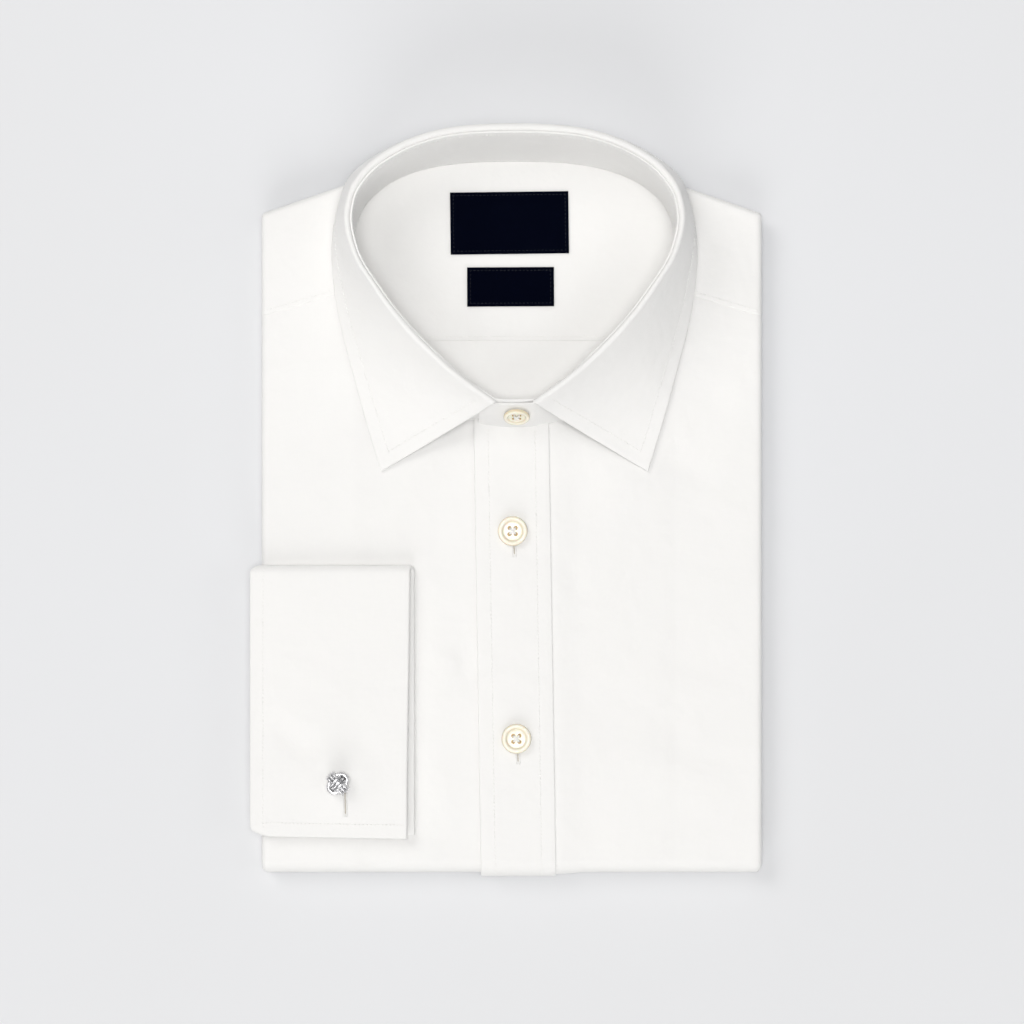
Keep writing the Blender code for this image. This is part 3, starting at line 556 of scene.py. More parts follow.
def turned(profile, sides):
    """(points, faces) of a profile of (radius, height) turned about Z. It starts and ends on Z."""
    angles = np.arange(sides) * 2 * math.pi / sides
    points = [(0.0, 0.0, profile[0][1])]
    for radius, height in profile[1:-1]:
        points += [(radius * math.cos(a), radius * math.sin(a), height) for a in angles]
    points.append((0.0, 0.0, profile[-1][1]))
    last, rings = len(points) - 1, len(profile) - 2
    faces = []
    for s in range(sides):
        t = (s + 1) % sides
        faces.append((0, 1 + t, 1 + s))
        for ring in range(rings - 1):
            low, high = 1 + ring * sides, 1 + (ring + 1) * sides
            faces.append((low + s, low + t, high + t, high + s))
        faces.append((1 + (rings - 1) * sides + s, 1 + (rings - 1) * sides + t, last))
    return np.array(points), faces


# ---- materials ---------------------------------------------------------------------------------


def group_of(name, inputs, outputs):
    """An empty shader node group with named sockets, and its two end nodes."""
    tree = bpy.data.node_groups.new(name, "ShaderNodeTree")
    for label, kind, value in inputs:
        socket = tree.interface.new_socket(label, in_out="INPUT", socket_type=kind)
        if value is not None:
            socket.default_value = value
    for label, kind in outputs:
        tree.interface.new_socket(label, in_out="OUTPUT", socket_type=kind)
    return tree, tree.nodes.new("NodeGroupInput"), tree.nodes.new("NodeGroupOutput")


def fill(tree, node, inputs):
    """Gives a node's inputs their values, or links them from other sockets."""
    for key, value in inputs.items():
        if isinstance(value, bpy.types.NodeSocket):
            tree.links.new(value, node.inputs[key])
        else:
            node.inputs[key].default_value = value


def add(tree, kind, inputs=None, **settings):
    """A node with its settings and its inputs."""
    node = tree.nodes.new(kind)
    for key, value in settings.items():
        setattr(node, key, value)
    fill(tree, node, inputs or {})
    return node


def maths(tree, operation, first, second=0.0, third=0.0):
    node = add(tree, "ShaderNodeMath", {0: first, 1: second, 2: third}, operation=operation)
    return node.outputs[0]


def noise(tree, place, scale, **inputs):
    return add(tree, "ShaderNodeTexNoise", {"Vector": place, "Scale": scale, **inputs}).outputs["Fac"]


MIX_FIRST, MIX_SECOND, MIX_RESULT = 6, 7, 2  # the mix node's sockets for colours


def blended(tree, factor, first, second, blend_type="MIX"):
    """The colour that two colours mix to."""
    inputs = {"Factor": factor, MIX_FIRST: first, MIX_SECOND: second}
    node = add(tree, "ShaderNodeMix", inputs, data_type="RGBA", blend_type=blend_type)
    return node.outputs[MIX_RESULT]


def pressed(tree, height, depth, strength, face=None):
    """Normals of a face that a height presses into by a depth in pattern millimetres."""
    inputs = {"Height": height, "Distance": depth * MM, "Strength": strength}
    if face:
        inputs["Normal"] = face
    return add(tree, "ShaderNodeBump", inputs).outputs[0]


FLOAT, VECTOR, COLOUR = "NodeSocketFloat", "NodeSocketVector", "NodeSocketColor"


def make_weave_group():
    """Plain weave: two sets of threads that pass over and under, each a little uneven."""
    tree, start, end = group_of(
        "plain_weave",
        [("Place", VECTOR, None), ("Thread", FLOAT, 0.00024)],
        [("Height", FLOAT), ("Threads", FLOAT)],
    )
    place = start.outputs["Place"]
    wander = maths(tree, "MULTIPLY", noise(tree, place, 900.0, Detail=1.0), 0.5)
    split = add(tree, "ShaderNodeSeparateXYZ", {0: place})
    waves = []
    for axis in (0, 1):
        turns = maths(tree, "DIVIDE", split.outputs[axis], start.outputs["Thread"])
        turns = maths(tree, "ADD", turns, wander)
        waves.append(maths(tree, "SINE", maths(tree, "MULTIPLY", turns, math.pi)))
    product = maths(tree, "MULTIPLY", waves[0], waves[1])
    height = maths(tree, "MULTIPLY_ADD", product, 0.5, 0.5)
    slubs = []
    for stretch in ((1400.0, 60.0, 1.0), (60.0, 1400.0, 1.0)):
        scaled = add(tree, "ShaderNodeVectorMath", {0: place, 1: stretch}, operation="MULTIPLY")
        slubs.append(noise(tree, scaled.outputs[0], 1.0))
    threads = maths(tree, "MULTIPLY", maths(tree, "ADD", slubs[0], slubs[1]), 0.5)
    fill(tree, end, {"Height": height, "Threads": threads})
    return tree


def make_wear_group():
    """Slow change of tone and gloss over a surface."""
    tree, start, end = group_of(
        "tone_and_wear",
        [
            ("Place", VECTOR, None),
            ("Colour", COLOUR, (1, 1, 1, 1)),
            ("Worn", COLOUR, (1, 1, 1, 1)),
            ("Size", FLOAT, 0.04),
            ("Amount", FLOAT, 0.5),
            ("Roughness", FLOAT, 0.8),
        ],
        [("Colour", COLOUR), ("Roughness", FLOAT)],
    )
    held = start.outputs
    scale = maths(tree, "DIVIDE", 1.0, held["Size"])
    mask = add(
        tree,
        "ShaderNodeMapRange",
        {"Value": noise(tree, held["Place"], scale, Detail=4.0), "From Min": 0.35, "From Max": 0.7},
        interpolation_type="SMOOTHSTEP",
    )
    amount = maths(tree, "MULTIPLY", mask.outputs[0], held["Amount"])
    colour = blended(tree, amount, held["Colour"], held["Worn"])
    rough = maths(tree, "MULTIPLY_ADD", amount, -0.12, held["Roughness"])  # worn is smoother
    fill(tree, end, {"Colour": colour, "Roughness": rough})
    return tree


def material_of(name, plain):
    """A material, its tree, its shader with the values that don't change over it, and its place."""
    material = bpy.data.materials.new(name)
    material.use_nodes = True
    tree = material.node_tree
    shader = tree.nodes["Principled BSDF"]
    fill(tree, shader, plain)
    return material, tree, shader, add(tree, "ShaderNodeTexCoord").outputs["Object"]


def worn_tone(tree, shader, wear, where, colour, worn, **sizes):
    """Feeds a shader its roughness and gives the colour, both slowly changing and worn."""
    inputs = {"Place": where, "Colour": (*colour, 1), "Worn": (*worn, 1), **sizes}
    tone = add(tree, "ShaderNodeGroup", inputs, node_tree=wear).outputs
    fill(tree, shader, {"Roughness": tone["Roughness"]})
    return tone["Colour"]


def make_woven(name, groups, colour, worn, thread, depth, roughness, rumple, plain):
    """Cloth: weave, fine rumples and broad waves in the normal, slow tone and gloss."""
    plain = {"Sheen Roughness": 0.6, "Specular IOR Level": 0.25, **plain}
    material, tree, shader, where = material_of(name, plain)
    laid = add(tree, "ShaderNodeUVMap", uv_map="cloth").outputs[0]
    threads = {"Place": laid, "Thread": thread}
    weave = add(tree, "ShaderNodeGroup", threads, node_tree=groups["weave"]).outputs
    tone = worn_tone(tree, shader, groups["wear"], where, colour, worn, Roughness=roughness)
    shade = maths(tree, "MULTIPLY", weave["Threads"], 0.05)
    grain = blended(tree, shade, tone, (0.55, 0.55, 0.55, 1), "MULTIPLY")
    face = pressed(tree, noise(tree, where, 34.0, Distortion=0.5), 4.0 * rumple, 1.0)
    face = pressed(tree, noise(tree, where, 130.0, Detail=3.0), 1.3 * rumple, 1.0, face)
    face = pressed(tree, weave["Height"], depth, 0.6, face)
    fill(tree, shader, {"Base Color": grain, "Normal": face})
    return material


def make_thread(name, colour, roughness=0.62, **plain):
    """Sewing thread: two plies that twist, drawn by fine slanting bands."""
    plain = {"Roughness": roughness, "Sheen Weight": 0.2, **plain}
    material, tree, shader, where = material_of(name, plain)
    waves = {"Vector": where, "Scale": 900.0, "Distortion": 2.0}
    bands = add(tree, "ShaderNodeTexWave", waves, bands_direction="DIAGONAL").outputs["Fac"]
    ramp = add(tree, "ShaderNodeValToRGB", {0: bands})
    for element, share in zip(ramp.color_ramp.elements, (0.95, 1.0)):
        element.color = (*(share * c for c in colour), 1)
    fill(tree, shader, {"Base Color": ramp.outputs[0], "Normal": pressed(tree, bands, 0.05, 0.5)})
    return material


def make_shell_button(groups):
    """Cream button: pale swirls below a polished face, and a tan painted shade at its edges and round its
    well.
    """
    plain = {
        "Subsurface Weight": 0.15,
        "Subsurface Scale": 0.002,
        "Specular IOR Level": 0.3,
        "Coat Weight": 0.08,
    }
    material, tree, shader, where = material_of("cream_button", plain)
    cream, aged = (0.86, 0.815, 0.68), (0.80, 0.73, 0.55)
    sizes = {"Size": 0.006, "Amount": 0.6, "Roughness": 0.2}
    tone = worn_tone(tree, shader, groups["wear"], where, cream, aged, **sizes)
    swirl = noise(tree, where, 210.0, Detail=5.0, Distortion=2.6)
    pale = blended(tree, maths(tree, "MULTIPLY", swirl, 0.55), tone, (0.94, 0.92, 0.86, 1))
    # tan painted shade: the rim's edge and the step round the well are darkened, standing in for the
    # shade and translucency on those slopes
    edges = add(tree, "ShaderNodeAttribute", attribute_name="tan_painted_shade").outputs["Fac"]
    edge_shaded = blended(tree, maths(tree, "MULTIPLY", edges, 0.75), pale, (0.66, 0.56, 0.36, 1))
    scratches = noise(tree, where, 1500.0, Detail=2.0)
    fill(tree, shader, {"Base Color": edge_shaded, "Normal": pressed(tree, scratches, 0.01, 0.3)})
    return material


def make_silver(groups, name, lit_share):
    """Worn silver: bright on the strands, duller and darker where tarnish stays. Its colour is scaled by
    a share of full brightness, and a low share gives a darkened copy, painted shade.
    """
    material, tree, shader, where = material_of(name, {"Metallic": 1.0})
    bright, tarnished = lit_share * np.array([(0.80, 0.80, 0.81), (0.52, 0.52, 0.54)])
    sizes = {"Size": 0.003, "Amount": 0.5, "Roughness": 0.34}
    tone = worn_tone(tree, shader, groups["wear"], where, bright, tarnished, **sizes)
    brushed = noise(tree, where, 2600.0, Detail=2.0)
    fill(tree, shader, {"Base Color": tone, "Normal": pressed(tree, brushed, 0.02, 0.4)})
    return material


def make_floor(groups):
    """Pale studio card."""
    material, tree, shader, where = material_of("studio_card", {"Specular IOR Level": 0.1})
    pale, dusty = (0.716, 0.724, 0.741), (0.698, 0.702, 0.710)
    tone = worn_tone(tree, shader, groups["wear"], where, pale, dusty, Size=0.5, Roughness=0.9)
    fill(tree, shader, {"Base Color": tone})
    return material


# ---- stitches ----------------------------------------------------------------------------------

# Sizes of a stitch in pattern millimetres, and its turn in radians.
TOPSTITCH = {"Pitch": 1.8, "Length": 1.2, "Width": 0.44, "Height": 0.4, "Turn": 0.0}
EDGE_STITCH = {"Pitch": 1.8, "Length": 1.2, "Width": 0.36, "Height": 0.3, "Turn": 0.0}
SATIN = {"Pitch": 0.3, "Length": 1.05, "Width": 0.32, "Height": 0.2, "Turn": math.pi / 2}
BAR_TACK = {"Pitch": 0.26, "Length": 2.4, "Width": 0.32, "Height": 0.3, "Turn": math.pi / 2}


def make_stitch_tree():
    """Geometry Nodes that lay stitches along rows: each row is a line of edges with an "up"."""
    tree = bpy.data.node_groups.new("stitch_rows", "GeometryNodeTree")
    face = tree.interface
    face.new_socket("Geometry", in_out="INPUT", socket_type="NodeSocketGeometry")
    for label in ("Pitch", "Length", "Width", "Height", "Turn"):
        face.new_socket(label, in_out="INPUT", socket_type="NodeSocketFloat")
    face.new_socket("Thread", in_out="INPUT", socket_type="NodeSocketMaterial")
    face.new_socket("Seed", in_out="INPUT", socket_type="NodeSocketInt")
    face.new_socket("Geometry", in_out="OUTPUT", socket_type="NodeSocketGeometry")
    given = tree.nodes.new("NodeGroupInput").outputs

    def made(kind, inputs=None, **settings):
        return add(tree, kind, inputs, **settings).outputs[0]

    rows = made("GeometryNodeMeshToCurve", {"Mesh": given["Geometry"]})
    spaced = made("GeometryNodeResampleCurve", {"Curve": rows, "Length": given["Pitch"]}, mode="LENGTH")
    lengths = {0: given["Length"], 1: given["Width"], 2: given["Height"]}
    size = made("ShaderNodeCombineXYZ", lengths)
    turn = made("ShaderNodeCombineXYZ", {2: given["Turn"]})
    bead = made("GeometryNodeMeshUVSphere", {"Segments": 6, "Rings": 4, "Radius": 0.5})
    shaped = made("GeometryNodeTransform", {"Geometry": bead, "Scale": size})
    swung = made("GeometryNodeTransform", {"Geometry": shaped, "Rotation": turn})
    ahead = made("GeometryNodeInputTangent")
    up = made("GeometryNodeInputNamedAttribute", {"Name": "up"}, data_type="FLOAT_VECTOR")
    along = made("FunctionNodeAlignRotationToVector", {"Vector": ahead}, axis="X")
    aims = {"Rotation": along, "Vector": up}
    upright = made("FunctionNodeAlignRotationToVector", aims, axis="Z", pivot_axis="X")
    limits = {"Min": (0.9, 0.88, 0.85), "Max": (1.06, 1.1, 1.1), "Seed": given["Seed"]}
    uneven = made("FunctionNodeRandomValue", limits, data_type="FLOAT_VECTOR")
    places = {"Points": spaced, "Instance": swung, "Rotation": upright, "Scale": uneven}
    laid = made("GeometryNodeInstanceOnPoints", places)
    real = made("GeometryNodeRealizeInstances", {"Geometry": laid})
    soft = made("GeometryNodeSetShadeSmooth", {"Geometry": real})
    dyed = made("GeometryNodeSetMaterial", {"Geometry": soft, "Material": given["Thread"]})
    fill(tree, tree.nodes.new("NodeGroupOutput"), {0: dyed})
    return tree


STITCH_LIFT = 0.28  # of its height, from the cloth to a stitch's middle


def stitched(name, tree, kinds, thread):
    """One piece of stitching from rows of each kind: kinds holds (sizes, [(points, normals)])."""
    meshes = []
    for seed, (sizes, rows) in enumerate(kinds):
        points, ups, edges = [], [], []
        for line, up in rows:
            first = len(points)
            points += metres(line + up * (STITCH_LIFT * sizes["Height"])).tolist()
            ups += up.tolist()
            edges += [(first + i, first + i + 1) for i in range(len(line) - 1)]
        mesh = bpy.data.meshes.new(name)
        mesh.from_pydata(points, edges, [])
        mesh.attributes.new("up", "FLOAT_VECTOR", "POINT").data.foreach_set("vector", np.ravel(ups))
        guide = bpy.data.objects.new(name, mesh)
        bpy.context.scene.collection.objects.link(guide)
        nodes = guide.modifiers.new("stitches", "NODES")
        nodes.node_group = tree
        for item in tree.interface.items_tree:
            if item.in_out == "INPUT" and item.name in sizes:
                value = sizes[item.name]
                nodes[item.identifier] = value if item.name == "Turn" else value * MM
            elif item.name == "Thread":
                nodes[item.identifier] = thread
            elif item.name == "Seed":
                nodes[item.identifier] = seed + 3
        graph = bpy.context.evaluated_depsgraph_get()
        meshes.append(bpy.data.meshes.new_from_object(guide.evaluated_get(graph)))
        bpy.data.objects.remove(guide, do_unlink=True)
    shape = bmesh.new()
    for mesh in meshes:
        shape.from_mesh(mesh)
    whole = bpy.data.meshes.new(name)
    shape.to_mesh(whole)
    shape.free()
    finish_part(object_of(name, whole, thread))


# ---- fronts, placket ---------------------------------------------------------------------------


def side_section():
    """(x, depth) round a side fold, from the flat front to the edge that is turned under."""
    flat = BODY_HALF - SIDE_ROUND
    section = [(flat + out, down) for out, down in round_off(SIDE_ROUND, range(0, 181, 15))]
    return section + [(BODY_HALF - 7.0, 2 * SIDE_ROUND), (BODY_HALF - TURN_UNDER, 2 * SIDE_ROUND)]


def body_grid(columns, row_count=104, edge=NECK_EDGE):
    """A grid down the front, round the bottom fold, up the underside and in at the tail's top.
    columns hold x from the middle line, depth below the outer face, and lift above it."""
    x, depth, lift = (np.array(values, float) for values in zip(*columns))
    near = within(x, PLACKET_NEAR)
    rows = []
    start = front_top_y(x, edge)
    for share in np.linspace(0, 1, row_count):
        y = start + (FOLD_REACH - start) * share
        moved = x + near * placket_middle(y)
        rows.append(np.stack([moved, y, front_height(moved, y) - depth + lift], axis=1))
    for degrees in range(9, 180, 9):
        angle = math.radians(degrees)
        moved = x + near * PLACKET_FOOT_X
        zone = within(moved - PLACKET_FOOT_X, PLACKET_ZONE)
        sunk = depth - lift + 2 * LAP * zone * smooth((degrees - 70) / 90)
        half = top_height(moved, FOLD_REACH) / 2
        y = FOLD_REACH - (FOLD_REACH - sunk) * math.sin(angle)
        rows.append(np.stack([moved, y, half + (half - sunk) * math.cos(angle)], axis=1))
    for y in np.arange(FOLD_REACH + 1, TAIL_TOP_Y - TAIL_ROUND, 3.0):
        rows.append(under_row(x, depth, lift, near, y))
    last = under_row(x, depth, lift, near, TAIL_TOP_Y - TAIL_ROUND)
    rows.append(last)
    inside = np.minimum(last[:, 2], TAIL_ROUND - 0.4)
    for degrees in range(20, 181, 20):
        angle = math.radians(degrees)
        radius = TAIL_ROUND - inside
        y = last[:, 1] + radius * math.sin(angle)
        rows.append(np.stack([last[:, 0], y, TAIL_ROUND - radius * math.cos(angle)], axis=1))
    rows.append(rows[-1] - (0.0, 12.0, 0.0))
    return np.array(rows)


def under_row(x, depth, lift, near, y):
    """One row of the underside."""
    moved = x + near * placket_under(y)
    zone = within(moved - placket_under(y), PLACKET_ZONE)
    loose = within(moved, UNDER_LOOSE) * smooth((y - 10) / 30) * smooth((300 - y) / 30)
    rumpled = np.maximum(0.12 + 0.2 * sway(moved, y + 90) + creased(moved, y, UNDER_CREASES), 0)
    z = depth - lift + 2 * LAP * zone + loose * (1 - zone) * rumpled + UNDER_CLEAR
    return np.stack([moved, np.full_like(moved, y), z], axis=1)


def make_fronts(cotton):
    fold = side_section()
    flat = np.arange(34.0, BODY_HALF - SIDE_ROUND - 1.0, FRONT_STEP)
    lap_edge = -PLACKET_WIDTH / 2 + 0.6
    near_left = np.concatenate([[lap_edge, -12.0, -6.0, 0.0, 6.0, 12.0], np.arange(16.0, 33.0, 1.6)])
    columns = [(x, 0.0, LAP * float(smooth((34.0 - x) / 15.0))) for x in near_left]
    columns += [(x, 0.0, 0.0) for x in flat] + [(x, d, 0.0) for x, d in fold]
    left = body_grid(columns, edge=PLACKET_TOP)
    columns = [(-x, d, 0.0) for x, d in fold[::-1]] + [(-x, 0.0, 0.0) for x in flat[::-1]]
    columns += [(x, 0.0, 0.0) for x in np.arange(-32.0, FRONT_UNDER_X, 1.8)]
    right = body_grid(columns, edge=-STAND_LAP - 0.3)
    for name, grid in (("front_left", left), ("front_right", right)):
        lay_cloth(name, grid, cotton, ["studio_floor"])


def make_placket(cotton):
    """The band on the wearer's left front, over both fronts."""
    half = PLACKET_WIDTH / 2
    line = half - PLACKET_STITCH
    columns = []
    for x in np.linspace(-half, half, 45):
        dimple = DIMPLE * float(bell((abs(x) - line) / 0.8))
        edge = 0.12 * float(bell((half - abs(x)) / 1.2))
        columns.append((x, dimple + edge, 2 * LAP))
    grid = body_grid(columns, row_count=130, edge=PLACKET_TOP)
    across = np.array([x for x, _, _ in columns])
    grid[0, :, 1] += PLACKET_EAR * smooth((STAND_OVER_X + 3.5 - across) / 2.0)
    lay_cloth("placket", grid, cotton, ["front_left"], **DOUBLE)
    return grid


# ---- yoke, back --------------------------------------------------------------------------------


def rim_profile(radius, drop, under):
    """(outward, down) round the rim of folded cloth: a quarter round, a drop, then turned under."""
    low = radius + drop
    side = [(radius, radius + drop / 2), (radius, low), (radius - 0.3, low + 0.6)]
    turned_in = [(radius - 1.0, low + 0.9), (radius - under, low + 0.9)]
    return round_off(radius, range(15, 91, 15)) + side + turned_in


def with_rim(grid, profile, sides=("left", "right", "top")):
    """Adds a turned rim round a flat grid whose rows run towards the front. Its corners are fans."""
    depth = len(profile)
    rows, columns = grid.shape[:2]
    pads = {side: depth if side in sides else 0 for side in ("left", "right", "top", "bottom")}
    height = rows + pads["top"] + pads["bottom"]
    width = columns + pads["left"] + pads["right"]
    out = np.zeros((height, width, 3))
    for r in range(height):
        over = pads["top"] - r if r < pads["top"] else max(r - pads["top"] - rows + 1, 0)
        tip = 1.0 if r < pads["top"] else -1.0
        base_r = min(max(r - pads["top"], 0), rows - 1)
        for c in range(width):
            beside = pads["left"] - c if c < pads["left"] else max(c - pads["left"] - columns + 1, 0)
            side = -1.0 if c < pads["left"] else 1.0
            base = grid[base_r, min(max(c - pads["left"], 0), columns - 1)]
            step = max(over, beside)
            if step == 0:
                out[r, c] = base
                continue
            outward, down = profile[step - 1]
            angle = math.pi / 4 * (over / beside if beside >= over else 2 - beside / over)
            out[r, c] = base + (
                side * outward * math.cos(angle),
                tip * outward * math.sin(angle),
                -down,
            )
    return out


def make_yoke(cotton):
    """Outer yoke: over the shoulders and behind the neck, turned down and under at the rim."""
    neck_edge, side, step = NECK_HALF + NECK_EDGE, BODY_HALF - SIDE_ROUND, 2.4
    xs = np.concatenate(
        [
            np.arange(-side, -neck_edge, step),
            NECK_X + neck_edge * np.sin(np.radians(np.arange(-90, 91, 3.0))),
            np.arange(neck_edge + 3.0, side, step),
            [side],
        ]
    )
    rows = []
    for share in np.linspace(1, 0, 22):
        on_neck = np.abs(xs - NECK_X) < neck_edge - 0.01
        low = np.where(on_neck, neck_back_y(xs), yoke_seam_y(xs) + SEAM)
        high = shoulder_y(xs) - SIDE_ROUND
        high = np.where(on_neck, np.maximum(high, low + 1.0), high)
        y = low + (high - low) * share
        rows.append(np.stack([xs, y, top_height(xs, y) + 0.1 * sway(xs, y)], axis=1))
    flat = np.array(rows)
    grid = with_rim(flat, rim_profile(SIDE_ROUND, 2.6, 6.0))
    lay_cloth("yoke", grid, cotton, ["front_left", "front_right"])
    return flat


def make_layer(name, low_y, high_y, sink, cotton):
    """A ply that lies inside, under the fronts, sunk below the inner yoke's height."""
    xs = np.linspace(-BACK_HALF, BACK_HALF, 90)
    low, high = low_y(xs), high_y(xs)
    rows = []
    for share in np.linspace(1, 0, 60):
        y = low + (high - low) * share
        rows.append(np.stack([xs, y, inside_height(xs, y) - sink], axis=1))
    grid = np.array(rows)
    lay_cloth(name, grid, cotton, ["folded_layers"])
    return grid


def make_back(cotton):
    """The back's ply, and the inner yoke that is sewn to it."""

    def level(y):
        return lambda x: np.full_like(x, y)

    def yoke_top(x):
        shoulder = shoulder_y(x) - SIDE_ROUND - 0.4
        return np.where(np.abs(x - NECK_X) < NECK_HALF, neck_back_y(x) + 1.2, shoulder)

    make_layer("back", level(BACK_FOOT_Y), level(YOKE_INNER_SEAM_Y + SEAM_TUCK), BACK_SINK, cotton)
    return make_layer("yoke_inner", level(YOKE_INNER_SEAM_Y), yoke_top, 0.0, cotton)


# ---- folded sides, sleeves and yoke behind -----------------------------------------------------


def ply(name, xs, low_y, inset, low_z, high_z, wave, cotton):
    """Cloth folded flat on itself: two faces that meet in a rounded rim."""
    rows = []
    for share in np.linspace(1, 0, 60):
        y = low_y + (shoulder_y(xs) - inset - low_y) * share
        x = xs + wave * np.sin(0.05 * y + low_z) * np.sign(xs) * (np.abs(xs) > 100)
        rows.append(np.stack([x, y, np.full_like(x, high_z)], axis=1))
    profile = round_off((high_z - low_z) / 2, range(15, 91, 15))
    top = with_rim(np.array(rows), profile, ("left", "right", "top", "bottom"))
    bottom = top.copy()
    bottom[:, :, 2] = low_z + high_z - top[:, :, 2]
    piece = faced_piece(name, top, bottom, cotton, apart=False)
    finish_cloth(piece, "folded_layers")


PANEL_XS, SLEEVE_XS = np.linspace(9.0, 117.7, 40), np.linspace(34.0, 116.8, 32)
FOLDED_PLIES = (  # name, x across, foot y, inset from the shoulder, low z, high z, wave
    ("side_panel_left", PANEL_XS, 9.0, 3.4, 5.75, 7.0, 0.35),
    ("side_panel_right", -PANEL_XS[::-1], 9.0, 3.4, 5.75, 7.0, 0.35),
    ("sleeve_folded_left", SLEEVE_XS, 40.0, 4.6, 7.05, 8.2, 0.4),
    ("sleeve_folded_right", -SLEEVE_XS[::-1], 152.0, 4.6, 7.05, 8.2, 0.4),
    ("yoke_behind", np.linspace(-104.0, 104.0, 50), 250.0, 5.0, 8.25, 8.95, 0.0),
)


# ---- collar ------------------------------------------------------------------------------------


def spline(values, at):
    """Catmull-Rom through rows of values, at a fractional row. The last row is the middle of the back."""
    rows = np.array(values, float)
    last = len(rows) - 1
    k = min(int(at), last - 1)
    t = at - k
    mirrored = rows[last - 1] * [-1, 1, -1, 1, 1, -1, 1, 1]
    before = rows[k - 1] if k > 0 else 2 * rows[0] - rows[1]
    after = rows[k + 2] if k + 2 <= last else mirrored
    a, b = rows[k], rows[k + 1]
    steps = 2 * a + (b - before) * t
    steps = steps + (2 * before - 5 * a + 4 * b - after) * t**2
    return 0.5 * (steps + (3 * a - before - 3 * b + after) * t**3)


def collar_at(along):
    """The stations' columns from -1 (right front end) through 0 (back) to 1 (left front end)."""
    row = spline(COLLAR_STATIONS, (1 - abs(along)) * (len(COLLAR_STATIONS) - 1))
    side = -1.0 if along < 0 else 1.0
    station = dict(zip(COLLAR_COLUMNS, row))
    for key in ("seam_x", "rim_x", "edge_x"):
        station[key] = NECK_X + side * station[key]
    return station


def stand_end(x, rim_drop):
    """A station of the stand between the leaf's two front ends; x is from the collar's axis."""
    front = collar_at(1.0)
    seam_y = NECK_SIDE_Y - (NECK_SIDE_Y - NECK_FRONT_Y) * math.sqrt(1 - (x / NECK_HALF) ** 2)
    rim_y = front["rim_y"] + (seam_y - front["seam_y"]) / 2
    place = NECK_X + x
    ends = {"seam_x": place, "seam_y": seam_y, "rim_x": place, "rim_y": rim_y}
    return dict(front, **ends, rim_z=front["rim_z"] - rim_drop)


def end_height(left):
    """Share of the stand's height that is left this near a rounded end."""
    rise = math.sqrt(1 - (1 - min(left / STAND_END_ROUND, 1)) ** 2)
    return STAND_END_LOW + (1 - STAND_END_LOW) * rise


def stand_section(station, lean=0.0, top=1.0, rise=0.0):
    """Points up the stand, from the neck seam to the rim, pushed sideways at the front by lean.
    Where the leaf hides the rim, the top stands up beside the leaf's roll by rise."""
    seam_x, seam_y = station["seam_x"], station["seam_y"] + lean
    base = float(top_height(seam_x, seam_y)) - STAND_FOOT
    share = np.linspace(0, 1, 19) * top
    bow = 1.2 * np.sin(math.pi * share) * (0.4 if lean else 1.0)
    return np.stack(
        [
            seam_x + (station["rim_x"] - seam_x) * share,
            seam_y + (station["rim_y"] + lean - seam_y) * share - bow,
            base + (station["rim_z"] + rise - base) * share,
        ],
        axis=1,
    )


def make_stand(cotton):
    """One band: from its under end at the front, round the neck, to its over end."""
    leaf_x = COLLAR_STATIONS[0][0]
    section, proud = [], []
    ends = 1 - (1 - np.linspace(0, 1, 26)) ** 1.6
    for share in (1 - ends[::-1])[:-1]:
        x = STAND_UNDER_X - (leaf_x + STAND_UNDER_X) * share
        top = end_height(STAND_UNDER_X - x)
        section.append(stand_section(stand_end(x, 0.0), STAND_LAP, top))
        proud.append(0.0)
    for along in np.linspace(-1, 1, 201):
        nearness = float(smooth((abs(along) - 0.86) / 0.14))
        lean = nearness * (STAND_LAP if along < 0 else -STAND_LAP)
        beside = float(smooth((0.96 - abs(along)) / 0.1))
        section.append(stand_section(collar_at(float(along)), lean, rise=STAND_RISE * beside))
        proud.append(beside)
    for share in ends[1:]:
        x = leaf_x + (STAND_OVER_X - leaf_x) * share
        top = end_height(x - STAND_OVER_X)
        section.append(stand_section(stand_end(x, float(smooth(3 * share))), -STAND_LAP, top))
        proud.append(0.0)
    middle = np.array(section)
    inward = STAND_PROUD * np.array(proud)[:, None] * smooth(np.linspace(-0.6, 1, middle.shape[1]))
    grid = middle + grid_normals(middle) * (STAND_WALL / 2 + inward)[:, :, None]
    lay_cloth("collar_stand", grid, cotton, ["yoke", "front_left"], "laid", wall=STAND_WALL, roll=0.45)
    return grid


def leaf_section(station):
    """Points from the rim, over the roll and down to the leaf's edge."""
    rim = np.array([station["rim_x"], station["rim_y"]])
    edge = np.array([station["edge_x"], station["edge_y"]])
    reach = float(np.linalg.norm(edge - rim))
    out = (edge - rim) / reach
    start_z = station["rim_z"] + 2 * SEAM
    drop = start_z - station["edge_z"]
    flat = float(smooth((reach - 30) / 25))
    out_first, out_last = 0.22, 0.68  # pulls of the curve
    drop_first, drop_last = 0.32 + 0.26 * flat, 0.84 + 0.12 * flat
    last = math.atan2(out_first * (reach - 2 * FOLD_ROLL), drop_first * drop)
    angles = np.linspace(math.pi, last, 13)
    path = [(FOLD_ROLL * (1 + math.cos(a)), FOLD_ROLL * math.sin(a)) for a in angles]
    (near, high), far = path[-1], reach - path[-1][0]
    bow = 1.6 * float(smooth((30 - reach) / 20))
    for t in np.linspace(0, 1, 41)[1:]:
        first, second = 3 * (1 - t) ** 2 * t, 3 * (1 - t) * t**2
        out_share = first * out_first + second * out_last + t**3
        drop_share = first * drop_first + second * drop_last + t**3
        outward = near + far * out_share + bow * math.sin(math.pi * t)
        path.append((outward, high - (drop + high) * drop_share))
    path = np.array(path)
    return np.concatenate([rim + out * path[:, :1], start_z + path[:, 1:]], axis=1)


